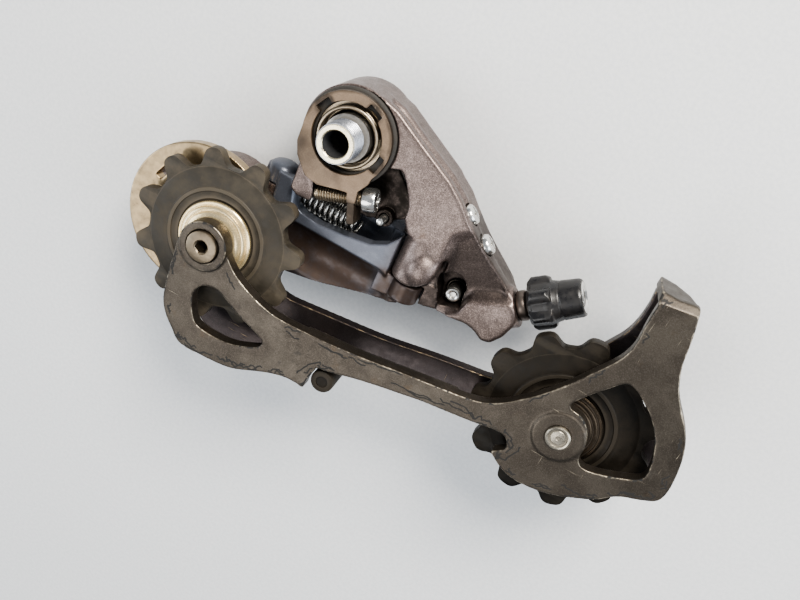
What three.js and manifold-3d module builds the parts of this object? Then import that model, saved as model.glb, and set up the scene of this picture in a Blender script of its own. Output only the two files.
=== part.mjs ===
// Rear bicycle derailleur, long cage. Units mm.
// Frame: origin on the mounting-bolt axis at the hanger seat plane. +Z inboard along the bolt,
// the cage pivot and both pulley axes. +X from the guide pulley to the tension pulley.
import * as THREE from 'three';
import * as BGU from 'three/addons/utils/BufferGeometryUtils.js';
import Module from 'manifold-3d';

const wasm = await Module();
wasm.setup();

// ---------- driving dimensions (mm) ----------
const PITCH = 12.7;              // chain pitch
const TEETH = 11;                // both pulleys
const R_PITCH = PITCH / (2 * Math.sin(Math.PI / TEETH));
const R_TIP = 23.4;              // tooth tip radius
const R_ROOT = 18.9;             // tooth root radius, just over the pitch radius less half a chain roller
const G = [-20.8, -38.2];        // guide pulley centre
const T = [77.8, -38.2];         // tension pulley centre
const ZP = 2.5;                  // pulley mid plane
const PH_G = 176.24, PH_T = 160.07; // tooth phase, degrees
const P0 = [-29.8, -38.7];       // cage pivot axis
const IN0 = 7.2, IN1 = 10.6;     // inner cage plate faces
const OU0 = -5.3, OU1 = -2.1;    // outer cage plate faces
const R_DISC = 20.0;             // outer plate disc round the pivot
const BI = [27.5, -7.2];         // (x,z) inner link pin on the upper knuckle
const PI_ = [-14.5, -10.4];      // (x,z) inner link pin on the lower knuckle
const BO = [23.5, -16.9];        // (x,z) outer link pin on the upper knuckle
const PO = [-18.5, -20.1];       // (x,z) outer link pin on the lower knuckle
const R_PIN = 2.0, R_PINHOLE = 2.3;
const BOLT_R = 5.0, BOLT_TOP = 7.85, BOLT_BORE = 3.25; // M10 thread
const SCREW_A = [-3.0, -17.3, -4.0];  // tension screw tip
const SCREW_B = [12.4, -11.8, -4.0];  // tension screw head face
const ADJ_0 = [53.9, -22.3, -9.0];    // barrel adjuster axis, knuckle side
const ADJ_1 = [68.6, -10.8, -9.0];    // barrel adjuster axis, housing end
const LIM_N = [0.636, 0.772, 0];      // limit screw direction, outwards
const LIM_1 = [35.22, -4.24, -8.0];
const LIM_2 = [42.07, -9.22, -8.0];
const NOTCHES = [[148, 1.9], [65, 2.0], [-15, 2.2]];   // stopper ring notches: angle, half width

// ---------- helpers ----------
// facets round a circle, from the size asked for
const facets = (n) => Math.max(12, 2 * Math.round(n * 0.31));
const V = (a) => new THREE.Vector3(a[0], a[1], a[2]);
function toM(g) {
  let h = g.index ? g.toNonIndexed() : g.clone();
  h.deleteAttribute('normal'); h.deleteAttribute('uv');
  h = BGU.mergeVertices(h, 1e-4);
  const id = h.index.array, tri = [];
  for (let i = 0; i < id.length; i += 3) {
    if (id[i] !== id[i + 1] && id[i + 1] !== id[i + 2] && id[i] !== id[i + 2]) tri.push(id[i], id[i + 1], id[i + 2]);
  }
  return new wasm.Manifold(new wasm.Mesh({
    numProp: 3,
    vertProperties: new Float32Array(h.attributes.position.array),
    triVerts: new Uint32Array(tri),
  }));
}
function toG(m) {
  const k = m.getMesh();
  const g = new THREE.BufferGeometry();
  g.setAttribute('position', new THREE.BufferAttribute(new Float32Array(k.vertProperties), 3));
  g.setIndex(new THREE.BufferAttribute(new Uint32Array(k.triVerts), 1));
  g.computeVertexNormals();
  return g;
}
const add = (...a) => a.reduce((p, q) => p.add(q));
const sub = (a, ...b) => b.reduce((p, q) => p.subtract(q), a);
const both = (a, b) => a.intersect(b);
function cylZ(x, y, z0, z1, r, seg = 40, r2 = r) {
  const g = new THREE.CylinderGeometry(r2, r, z1 - z0, facets(seg));
  g.rotateX(Math.PI / 2); g.translate(x, y, (z0 + z1) / 2);
  return toM(g);
}
function cylY(x, z, y0, y1, r, seg = 28) {
  const g = new THREE.CylinderGeometry(r, r, y1 - y0, facets(seg));
  g.translate(x, (y0 + y1) / 2, z);
  return toM(g);
}
function cylX(y, z, x0, x1, r, seg = 28) {
  const g = new THREE.CylinderGeometry(r, r, x1 - x0, facets(seg));
  g.rotateZ(Math.PI / 2); g.translate((x0 + x1) / 2, y, z);
  return toM(g);
}
// solid of revolution from a closed (r, s) profile, axis from point p along d
function lathe(prof, p = [0, 0, 0], d = [0, 0, 1], seg = 36) {
  const pts = prof.map((q) => new THREE.Vector2(Math.max(q[0], 0), q[1]));
  pts.push(pts[0].clone());
  const g = new THREE.LatheGeometry(pts, facets(seg));
  const q = new THREE.Quaternion().setFromUnitVectors(new THREE.Vector3(0, 1, 0), V(d).normalize());
  g.applyQuaternion(q); g.translate(p[0], p[1], p[2]);
  let m = toM(g);
  if (m.volume() < 0) {
    const id = g.index.array;
    for (let i = 0; i < id.length; i += 3) { const t = id[i]; id[i] = id[i + 1]; id[i + 1] = t; }
    m = toM(g);
  }
  return m;
}
function rod(p, d, s0, s1, r, seg = 20, r2 = r) {
  const g = new THREE.CylinderGeometry(r2, r, s1 - s0, facets(seg));
  g.translate(0, (s0 + s1) / 2, 0);
  const q = new THREE.Quaternion().setFromUnitVectors(new THREE.Vector3(0, 1, 0), V(d).normalize());
  g.applyQuaternion(q); g.translate(p[0], p[1], p[2]);
  return toM(g);
}
function shape(poly, holes = []) {
  if (THREE.ShapeUtils.area(poly.map((p) => new THREE.Vector2(p[0], p[1]))) < 0) poly = [...poly].reverse();
  const s = new THREE.Shape(poly.map((p) => new THREE.Vector2(p[0], p[1])));
  for (const h of holes) s.holes.push(new THREE.Path(h.map((p) => new THREE.Vector2(p[0], p[1]))));
  return s;
}
function prism(poly, z0, z1, holes = []) {
  const g = new THREE.ExtrudeGeometry(shape(poly, holes), { depth: z1 - z0, bevelEnabled: false, curveSegments: 12 });
  g.translate(0, 0, z0);
  return toM(g);
}
// polygon given as (x, z), extruded over y0..y1
function prismY(poly, y0, y1) {
  const g = new THREE.ExtrudeGeometry(shape(poly), { depth: y1 - y0, bevelEnabled: false });
  g.rotateX(Math.PI / 2); g.translate(0, y1, 0);
  return toM(g);
}
const box = (x0, x1, y0, y1, z0, z1) => {
  const g = new THREE.BoxGeometry(x1 - x0, y1 - y0, z1 - z0);
  g.translate((x0 + x1) / 2, (y0 + y1) / 2, (z0 + z1) / 2);
  return toM(g);
};
// box with its own axes: centre c, half sizes h along u, v, w
function obox(c, u, v, h) {
  const U = V(u).normalize(), W = new THREE.Vector3().crossVectors(U, V(v)).normalize();
  const VV = new THREE.Vector3().crossVectors(W, U);
  const g = new THREE.BoxGeometry(2 * h[0], 2 * h[1], 2 * h[2]);
  g.applyMatrix4(new THREE.Matrix4().makeBasis(U, VV, W)); g.translate(c[0], c[1], c[2]);
  return toM(g);
}
const circle = (x, y, r, n, a0 = 0) => Array.from({ length: n }, (_, i) => [x + r * Math.cos(a0 + 2 * Math.PI * i / n), y + r * Math.sin(a0 + 2 * Math.PI * i / n)]);
function coil(centre, r, wire, z0, z1, turns, seg, sides, a0 = 0) {
  class Helix extends THREE.Curve {
    getPoint(t) { const a = a0 + 2 * Math.PI * turns * t; return new THREE.Vector3(centre[0] + r * Math.cos(a), centre[1] + r * Math.sin(a), z0 + (z1 - z0) * t); }
  }
  const g = new THREE.ExtrudeGeometry(shape(circle(0, 0, wire, sides)), { steps: Math.round(turns * seg), extrudePath: new Helix(), bevelEnabled: false });
  return toM(g);
}
// drops outline points that lie within tol of the chord between their neighbours
function thin(poly, tol) {
  const keep = new Array(poly.length).fill(false);
  const far = (i, j) => {
    let best = 0, at = -1;
    const [ax, ay] = poly[i], [bx, by] = poly[j % poly.length], l = Math.hypot(bx - ax, by - ay) || 1;
    for (let k = i + 1; k < j; k++) {
      const d = Math.abs((bx - ax) * (poly[k][1] - ay) - (by - ay) * (poly[k][0] - ax)) / l;
      if (d > best) { best = d; at = k; }
    }
    if (best > tol) { keep[at] = true; far(i, at); far(at, j); }
  };
  const half = Math.floor(poly.length / 2);
  keep[0] = keep[half] = true;
  far(0, half); far(half, poly.length);
  return poly.filter((_, i) => keep[i]);
}
const unit = (a) => { const l = Math.hypot(...a); return a.map((q) => q / l); };

const group = new THREE.Group();
group.name = 'rear_derailleur';
function put(name, m, color, rough = 0.5, metal = 0.6) {
  const mat = new THREE.MeshStandardMaterial({ color, roughness: rough, metalness: metal });
  const mesh = new THREE.Mesh(toG(m), mat);
  mesh.name = name;
  group.add(mesh);
}
const C_PLATE = 0x6f675e, C_BODY = 0x6a6065, C_LINK = 0x5c6068, C_STEEL = 0xb9b7b0, C_DARK = 0x1d1c1c,
  C_PULLEY = 0x3a342e, C_CAP = 0xc9b78e, C_WORN = 0xb5aa98, C_BLACK = 0x18191b, C_BRONZE = 0x8d7865;

// ---------- hanger side ----------
// threaded axle with bore and chamfer, its plain shank and its outboard head
{
  let m = lathe([[0, -22.5], [6.2, -22.5], [7.4, -21.6], [7.4, -19.6], [5.9, -19.6], [5.9, -0.2], [4.5, 0.2], [4.5, 0.9],
    [BOLT_R, 1.3], [BOLT_R, BOLT_TOP - 0.45], [4.6, BOLT_TOP], [0, BOLT_TOP]], [0, 0, 0], [0, 0, 1], 40);
  const hex = toM(new THREE.CylinderGeometry(3.0, 3.0, 8, 6).rotateX(Math.PI / 2).translate(0, 0, -20));
  m = sub(m, cylZ(0, 0, -9, BOLT_TOP + 1, BOLT_BORE, 32), hex);
  put('mounting_bolt', m, C_STEEL, 0.3, 0.9);
}
// ring plate with three notches, lug and outboard tab
const sd = unit([SCREW_B[0] - SCREW_A[0], SCREW_B[1] - SCREW_A[1], 0]);   // screw direction, tip to head
const sn = [sd[1], -sd[0], 0];                                            // across the screw, away from the bolt
const tabC = [6.6, -14.0, -4.0];
{
  const ring = cylZ(0, 0, -1.8, 0, 11.4, 48);
  const lug = prism([[-11.3, -1.5], [-11.2, -6.0], [-9.9, -9.3], [-6.3, -13.2], [-2.6, -14.0], [3.0, -12.6], [5.2, -12.2], [6.0, -14.6], [8.1, -13.9], [7.6, -10.8], [9.3, -8.0], [9.8, -4.5], [0, 0]], -1.8, 0);
  const tab = obox([tabC[0] + sn[0] * 2.0, tabC[1] + sn[1] * 2.0, -4.1], sd, sn, [0.95, 4.1, 3.0]);
  let m = add(ring, lug, tab);
  m = sub(m, cylZ(0, 0, -3, 1, 8.9, 44));
  m = sub(m, rod(SCREW_A, sd, 4, 16, 2.3, 20), rod(SCREW_A, sd, 12.4, 19, 3.5, 28));
  // notches in the ring's inner edge
  for (const [a, w] of NOTCHES) {
    const t = a * Math.PI / 180;
    m = sub(m, obox([8.6 * Math.cos(t), 8.6 * Math.sin(t), -1], [Math.cos(t), Math.sin(t), 0], [-Math.sin(t), Math.cos(t), 0], [1.7, w, 3]));
  }
  m = m.decompose().sort((a, b) => b.volume() - a.volume())[0];
  put('stopper_plate', m, C_BRONZE, 0.55, 0.5);
}
// wire ring, 1.6 turns round the axle's shoulder
put('snap_ring', coil([0, 0], 7.3, 0.5, -2.6, -0.6, 1.6, 20, 6, -0.5), C_CAP, 0.35, 0.9);
// tension screw: thread tip, shank, slotted head
{
  const len = Math.hypot(SCREW_B[0] - SCREW_A[0], SCREW_B[1] - SCREW_A[1]);
  const p = [[0, 0], [1.5, 0], [2.0, 0.5], [2.0, len - 3.6], [3.0, len - 3.6], [3.1, len - 3.1], [3.1, len - 0.6], [2.6, len], [0, len]];
  let m = lathe(p, SCREW_A, sd, 24);
  const e = [SCREW_A[0] + sd[0] * len, SCREW_A[1] + sd[1] * len, -4];
  m = sub(m, obox(e, sd, [0, 0, 1], [1.4, 2.0, 0.4]), obox(e, sd, sn, [1.4, 2.0, 0.4]));
  put('b_tension_screw', m, C_STEEL, 0.35, 0.9);
}

// ---------- upper knuckle ----------
const K_TOP = [[0.5, 12.4], [4.5, 12.2], [8.8, 11.0], [14.7, 7.8], [21.3, 4.4], [27, 1.5], [31.5, -1.8], [35, -5.2], [39.3, -9], [43.5, -12.2],
  [47.5, -15], [50.5, -17], [53.6, -20], [56.6, -24.6], [55.4, -28.8], [53.2, -32], [50.8, -32.6], [48.2, -31], [45.5, -30.4],
  [41, -31], [37.5, -31.6], [34.2, -30.6], [33.2, -28.4], [32.4, -27.6], [27.5, -27.6], [27.5, -16], [22.8, -15.9], [20.4, -12.4], [20.2, -9.5], [19.2, -7.2], [17.4, -4.4], [15.2, -1.6],
  [12.9, -3.2], [9, -8.6], [0, 0]];
const K_LOW = [[27, 0.6], [31.5, -2.4], [35, -5.8], [39.3, -9.6], [43.5, -12.8], [47.5, -15.6], [50.5, -17.8], [53.3, -20.8], [55.6, -24.8],
  [54.4, -28.4], [52.4, -31.2], [48.2, -30.6], [41, -30.6], [36, -31.2], [33, -31.2], [33, -28.4], [28.2, -28.4], [28.2, -15.6], [24, -12], [20.8, -9], [15, -1.2]];
{
  const housing = cylZ(0, 0, -19, -3.4, 12.5, 56);
  const top = prism(K_TOP, -9.6, -2.3);
  const low = prism(K_LOW, -18.2, -9.0);
  const link0 = prism([[0.5, 12.3], [8.8, 10.6], [14.7, 7.4], [27, 0.9], [20.8, -9], [15, -2], [9, -8.6], [0, 0]], -18.2, -9.0);
  const lobe = cylY(BI[0], BI[1], -28, -16, 5.2, 36);
  const lobeEnd = toM(new THREE.SphereGeometry(5.2, 22, 8).scale(1, 0.45, 1).translate(BI[0], -27.2, BI[1]));
  // round the housing and cable arm
  const adir = unit([ADJ_1[0] - ADJ_0[0], ADJ_1[1] - ADJ_0[1], 0]);
  const arm = rod(ADJ_0, adir, -10, 1.6, 5.4, 28);
  const floor = prism([[-9.3, -6], [-9.3, -19.4], [10.5, -19.4], [15.5, -17.5], [19.3, -15.4], [22, -12], [12, -3]], -13, -10.2);
  const tipLug = prism([[-9.3, -8], [-9.3, -18.8], [-7.2, -20.0], [-4.2, -19.9], [-2.8, -19.2], [-4.6, -14.2], [-4.6, -9]], -12.5, -2.6);
  const lugUp = add(cylY(BO[0], BO[1], -20.0, -15.9, 4.0, 28), box(23.5, 30, -20.0, -15.9, -20.9, -12.9));
  const lugLow = add(cylY(BO[0], BO[1], -33.0, -28.6, 4.0, 28), box(23.5, 36, -33.0, -28.6, -20.9, -12.9));
  const hookBoss = cylZ(14.9, -16.6, -11, -7.7, 2.3, 20);
  let m = add(housing, top, low, link0, arm, floor, tipLug, lugUp, lugLow, hookBoss);
  // sloped facet between the ridge and the cable arm
  const facet = prism([[31.0, -9.3], [35.6, -6.0], [39.6, -9.0], [44.8, -12.8], [50.0, -17.0], [52.4, -19.2], [48, -22.2], [43.2, -24.4], [42.4, -27.6], [38.6, -29.6], [35.0, -28.0], [33.4, -24], [33.2, -18.5]], -13, 2);
  const above = obox([40.5, -14, 5.6], [1, 0, -0.14], [0, 1, 0.16], [26, 22, 11.0]);
  m = sub(m, both(facet, above));
  m = sub(m, prism([[42.4, -27.6], [43.2, -24.4], [48, -22.2], [52.4, -19.2], [60, -18], [60, -36], [36, -36], [36, -29.4]], -4.2, 0));
  // the lobe stands alone on its left side
  m = sub(m, box(21.5, BI[0] + 0.1, -29, -16, -12.6, 0));
  m = add(m, lobe, both(lobeEnd, box(20, 34, -30, -27, -14, 0)));
  // pocket with the pin
  m = sub(m, cylZ(37.9, -23.6, -13, 0, 3.9, 28), obox([38.6, -26.0, -6], [0.3, -1, 0], [1, 0.3, 0], [3.0, 3.3, 7]));
  m = add(m, cylZ(39.2, -26.4, -14, -12, 2.6, 20));
  // spring cavity, axle bore, seal seat
  m = sub(m, cylZ(0, 0, -16.6, 0, 10.2, 44), cylZ(0, 0, -23, 0, 6.25, 36));
  // arc bay for the tension screw and tab
  m = sub(m, prism([[-3.0, -12.6], [-3.4, -19.5], [2, -23], [12, -23], [19.0, -14.5], [20.2, -10], [19, -6.8], [16.9, -3.4], [14.6, -1.6], [11.2, -2.8], [6.5, -7.8], [0, -11.6]], -10.2, 1));
  m = add(m, hookBoss);
  // counterbored holes for the limit screws
  for (const L of [LIM_1, LIM_2]) m = sub(m, rod(L, LIM_N, -9.6, 0, 2.3, 20), rod(L, LIM_N, -2.55, 3, 3.1, 24));
  // seal seat round the bore
  m = sub(m, cylZ(0, 0, -3.4, 0, 12.35, 56));
  // link pins
  m = sub(m, cylY(BI[0], BI[1], -30, -15.6, R_PINHOLE, 24), cylY(BO[0], BO[1], -36, -12, R_PINHOLE, 24));
  // barrel adjuster thread, hook pin and pocket pin holes
  m = sub(m, rod(ADJ_0, adir, -6.5, 4, 3.2, 24), rod(ADJ_0, adir, -14, -6, 1.4, 14), cylZ(14.9, -16.6, -9.6, 0, 1.4, 16), cylZ(39.2, -26.4, -13.2, 0, 2.35, 18));
  // running room for the inner link's lower ear and the outer link's barrel
  m = sub(m, cylY(BI[0], BI[1], -37, -28.25, 4.6, 28), box(18, 27.5, -37, -28.25, -12.4, -1));
  m = sub(m, cylY(BO[0], BO[1], -28.4, -20.2, 4.4, 28), box(14, 23.5, -28.4, -20.2, -21.3, -12.3));
  m = m.decompose().sort((a, b) => b.volume() - a.volume())[0];
  put('b_knuckle_body', m, C_BODY, 0.45, 0.7);
}
const adir = unit([ADJ_1[0] - ADJ_0[0], ADJ_1[1] - ADJ_0[1], 0]);
put('b_dust_seal', sub(cylZ(0, 0, -3.15, -2.1, 12.0, 48), cylZ(0, 0, -4, 0, 8.6, 40)), C_DARK, 0.8, 0.0);
put('b_spring', coil([0, 0], 8.2, 0.8, -15.2, -5.2, 3.5, 14, 5), C_STEEL, 0.4, 0.9);
put('link_pin_b_inner', add(cylY(BI[0], BI[1], -33.8, -15.9, R_PIN, 20)), C_STEEL, 0.3, 0.9);
put('link_pin_b_outer', cylY(BO[0], BO[1], -33.4, -15.5, R_PIN, 20), C_STEEL, 0.3, 0.9);
put('spring_hook_pin', lathe([[0, -9.3], [1.1, -9.3], [1.1, -4.4], [0.7, -4.0], [0, -3.9]], [14.9, -16.6, 0], [0, 0, 1], 16), C_STEEL, 0.35, 0.9);
put('pocket_pin', lathe([[0, -12.9], [2.05, -12.9], [2.05, -7.9], [1.6, -7.3], [0.8, -7.3], [0.8, -8.3], [0, -8.3]], [39.2, -26.4, 0], [0, 0, 1], 20), C_STEEL, 0.25, 0.95);

for (const [n, L] of [['high_limit_screw', LIM_1], ['low_limit_screw', LIM_2]]) {
  let m = lathe([[0, -9.2], [1.6, -9.2], [2.0, -8.8], [2.0, -2.2], [2.7, -2.2], [2.75, -0.7], [2.0, 0], [0, 0.1]], L, LIM_N, 24);
  m = sub(m, obox(L, LIM_N, [0, 0, 1], [1.1, 1.7, 0.35]), obox(L, LIM_N, [-LIM_N[1], LIM_N[0], 0], [1.1, 1.7, 0.35]));
  put(n, m, C_STEEL, 0.3, 0.9);
}
// barrel adjuster: threaded stem, lobed knob, metal seat for the housing
{
  const Ls = Math.hypot(ADJ_1[0] - ADJ_0[0], ADJ_1[1] - ADJ_0[1]);
  const stem = lathe([[1.2, -6.2], [2.85, -6.2], [2.85, 1.9], [3.9, 1.9], [3.9, 4.0], [3.4, 4.3], [3.4, 6.6], [2.6, 6.9], [2.6, 12.2], [1.2, 12.2]], ADJ_0, adir, 28);
  put('adjuster_stem', stem, 0x4a4a4c, 0.45, 0.8);
  let knob = lathe([[2.9, 5.0], [5.4, 5.0], [5.9, 5.5], [5.9, 10.6], [5.0, 12.4], [4.8, Ls - 0.9], [4.5, Ls - 0.3], [4.35, Ls - 0.3], [4.35, 12.6], [2.9, 12.6]], ADJ_0, adir, 32);
  // six grip lobes round the front half
  const lobes = Array.from({ length: 36 }, (_, i) => { const t = i * Math.PI / 18, r = 6.15 + 0.75 * Math.cos(6 * t); return [r * Math.cos(t), r * Math.sin(t)]; });
  const grip = new THREE.ExtrudeGeometry(shape(lobes), { depth: 4.0, bevelEnabled: true, bevelSize: 0.6, bevelOffset: -0.6, bevelThickness: 0.6, bevelSegments: 1 });
  grip.translate(0, 0, 6.1);
  grip.applyQuaternion(new THREE.Quaternion().setFromUnitVectors(new THREE.Vector3(0, 0, 1), V(adir)));
  grip.translate(...ADJ_0);
  knob = add(knob, toM(grip));
  knob = sub(knob, rod(ADJ_0, adir, 3, 7.2, 3.75, 28), rod(ADJ_0, adir, 3, 20, 2.95, 28));
  put('adjuster_knob', knob, C_BLACK, 0.55, 0.0);
  put('adjuster_insert', lathe([[2.5, 12.9], [4.05, 12.9], [4.05, Ls - 0.2], [3.8, Ls], [2.9, Ls], [2.5, Ls - 0.4]], ADJ_0, adir, 28), C_STEEL, 0.25, 0.95);
}

// ---------- links ----------
// both links are drawn in a level frame, then tilted onto their two pins
const tilt = Math.asin((PI_[1] - BI[1]) / Math.hypot(PI_[0] - BI[0], PI_[1] - BI[1]));
const LLEN = Math.hypot(PI_[0] - BI[0], PI_[1] - BI[1]);
function onPins(m, pin) {
  // level frame: pin at x = 0, z = 0, the other pin at x = -LLEN
  return m.rotate([0, tilt * 180 / Math.PI, 0]).translate([pin[0], 0, pin[1]]);
}
{
  const e = -LLEN;
  const outline = [[e + 4.3, -18.4], [e + 4.6, -21.2], [e + 6.4, -24.0], [e + 9.6, -25.5], [e + 14.6, -25.9], [e + 22, -24.9], [e + 29.4, -23.6], [e + 33.6, -21.3], [-5.7, -17.6],
    [-5.55, -28.3], [-5.2, -33.6], [0, -33.6], [0, -34.4], [-6, -37.0], [-19, -40.2], [-31, -42.6], [e + 4.3, -42.8]];
  const band = prism(outline, -0.9, 3.1);
  const lower = prism([[e + 4.3, -30.5], [-6.0, -27.5], [-5.4, -33.6], [-6, -37.0], [-19, -40.2], [-31, -42.6], [e + 4.3, -42.8]], -3.2, 1.0);
  let m = add(band, lower);
  // concave face that falls away towards the lower edge
  const scoop = cylX(-34.6, 8.3, e + 8.5, -8.6, 8.2, 44);
  const scoopEnd = toM(new THREE.SphereGeometry(8.2, 20, 12).translate(-8.6, -34.6, 8.3));
  const scoopEnd2 = toM(new THREE.SphereGeometry(8.2, 20, 12).translate(e + 8.5, -34.6, 8.3));
  m = sub(m, scoop, scoopEnd, scoopEnd2);
  // ears
  const dome = toM(new THREE.SphereGeometry(3.9, 20, 8).scale(1, 0.5, 1).translate(e, -17.7, 0));
  const earU = add(cylY(e, 0, -21.7, -17.7, 3.9, 32), dome, prism([[e, -21.7], [e, -17.4], [e + 4.2, -18.0], [e + 5.2, -22.4], [e + 4.4, -21.7]], -0.9, 3.1));
  const earL = add(cylY(e, 0, -41.0, -36.4, 3.3, 28), prism([[e, -41.0], [e, -36.4], [e + 6, -36.4], [e + 6, -41.0]], -3.0, 1.0));
  const earB = add(cylY(0, 0, -33.6, -28.45, 4.1, 32), prism([[-8, -35.0], [-8, -28.45], [0, -28.45], [0, -33.6]], -3.2, 2.2));
  m = sub(m, cylY(0, 0, -28.4, -10, 5.55, 36), cylY(e, 0, -36.3, -21.8, 4.2, 32));
  m = add(m, earU, earL, earB);
  m = sub(m, cylY(0, 0, -36, -26, R_PINHOLE, 24), cylY(e, 0, -43.5, -17.0, R_PINHOLE, 24));
  put('inner_link', onPins(m, BI).decompose().sort((a, b) => b.volume() - a.volume())[0], C_LINK, 0.5, 0.7);
}
{
  const e = -LLEN;
  const plate = prism([[e + 4.5, -21.2], [e + 9, -20.4], [-3, -20.4], [-3, -28.1], [-4.7, -28.2], [-6.2, -31.5], [e + 16, -37.0], [e + 4.5, -37.6]], -3.3, 1.2);
  let m = add(plate, box(-6, 0, -28.1, -20.4, -3.3, 1.9));
  m = sub(m, cylY(e, 0, -36.3, -25.8, 4.2, 32));
  const earU = add(cylY(e, 0, -25.7, -21.4, 3.8, 28), prism([[e, -25.7], [e, -21.6], [e + 6, -21.2], [e + 6, -26.2], [e + 4.2, -25.7]], -3.3, 1.2));
  const earL = add(cylY(e, 0, -40.6, -36.4, 3.4, 28), prism([[e, -40.6], [e, -36.4], [e + 6, -36.4], [e + 9, -38.0], [e + 6, -40.6]], -3.3, 1.2));
  m = add(m, earU, earL, cylY(0, 0, -28.1, -20.5, 3.9, 28));
  m = sub(m, cylY(0, 0, -36, -12, R_PINHOLE, 24), cylY(e, 0, -43, -15, R_PINHOLE, 24));
  // clamp seat and screw hole
  m = sub(m, cylZ(-17.5, -30, -6, 3, 2.8, 20), cylX(-24.0, 5.2, -33, -10, 4.2, 24));
  put('outer_link', onPins(m, BO).decompose().sort((a, b) => b.volume() - a.volume())[0], C_LINK, 0.5, 0.7);
  // coil spring lying over the outer link
  const g = coil([0, 0], 2.9, 0.5, -13.4, 4.4, 9, 9, 5);
  const sp = g.rotate([0, 90, 0]);
  put('return_spring', onPins(sp.translate([-23.5 + 4.4, -23.6, 4.6]), BO), C_STEEL, 0.4, 0.9);
  // cable clamp on the outboard face
  const w = sub(cylZ(-17.5, -30, -5.0, -3.6, 4.6, 28), cylZ(-17.5, -30, -6, 0, 2.8, 20));
  put('cable_clamp_washer', onPins(w, BO), C_STEEL, 0.35, 0.9);
  let cb = add(cylZ(-17.5, -30, -6.0, 0.6, 2.5, 20), cylZ(-17.5, -30, -8.4, -5.3, 4.2, 28));
  cb = sub(cb, toM(new THREE.CylinderGeometry(2.6, 2.6, 5, 6).rotateX(Math.PI / 2).translate(-17.5, -30, -8.5)));
  put('cable_clamp_bolt', onPins(cb, BO), C_STEEL, 0.35, 0.9);
}

// ---------- lower knuckle ----------
{
  const h = cylZ(P0[0], P0[1], -25.2, -5.8, 13.4, 52);
  const cap = cylZ(P0[0], P0[1], -26.2, -25.2, 12.4, 52, 13.4);
  const bossI = cylY(PI_[0], PI_[1], -36, -22, 3.7, 28), bossO = cylY(PO[0], PO[1], -36, -26, 3.7, 28);
  const web = prismY([[-30, -7.0], [-19, -7.0], [PI_[0], -6.9], [PI_[0] + 2.4, -12.4], [PO[0] + 3.2, -22], [PO[0], -23.6], [-30, -23.6]], -35.8, -26);
  let m = add(h, cap, bossI, bossO, web);
  m = sub(m, cylZ(P0[0], P0[1], -22.5, 0, 10.2, 44), cylZ(P0[0], P0[1], -30, 0, 4.3, 32));
  m = sub(m, cylY(PI_[0], PI_[1], -44, -36.2, 4.3, 28), cylY(PO[0], PO[1], -44, -36.2, 4.3, 28), box(PI_[0], -5, -44, -36.2, -16, -5), box(PO[0], -5, -44, -36.2, -26, -14));
  m = sub(m, cylY(PI_[0], PI_[1], -21.9, -12, 4.3, 28), cylY(PO[0], PO[1], -25.9, -12, 4.3, 28));
  m = sub(m, cylY(PI_[0], PI_[1], -45, -15, R_PINHOLE, 24), cylY(PO[0], PO[1], -45, -15, R_PINHOLE, 24));
  // stop lug for the cage stop pin
  const sa = 173.6 * Math.PI / 180;
  m = add(m, obox([P0[0] + 15.6 * Math.cos(sa), P0[1] + 15.6 * Math.sin(sa), -9.6], [Math.cos(sa), Math.sin(sa), 0], [-Math.sin(sa), Math.cos(sa), 0], [3.0, 1.6, 3.0]));
  m = sub(m, cylZ(P0[0], P0[1], -22.5, 0, 10.2, 44));
  m = m.decompose().sort((a, b) => b.volume() - a.volume())[0];
  put('p_knuckle_body', m, C_BODY, 0.45, 0.7);
}
put('p_spring', coil(P0, 6.7, 0.85, -21.0, -8.2, 4, 14, 5), C_STEEL, 0.4, 0.9);
put('p_seal', sub(cylZ(P0[0], P0[1], -7.2, -5.65, 10.0, 44), cylZ(P0[0], P0[1], -9, 0, 8.9, 40)), C_DARK, 0.8, 0);
put('link_pin_p_inner', cylY(PI_[0], PI_[1], -41.2, -17.3, R_PIN, 20), C_STEEL, 0.3, 0.9);
put('link_pin_p_outer', cylY(PO[0], PO[1], -40.8, -21.2, R_PIN, 20), C_STEEL, 0.3, 0.9);

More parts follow.
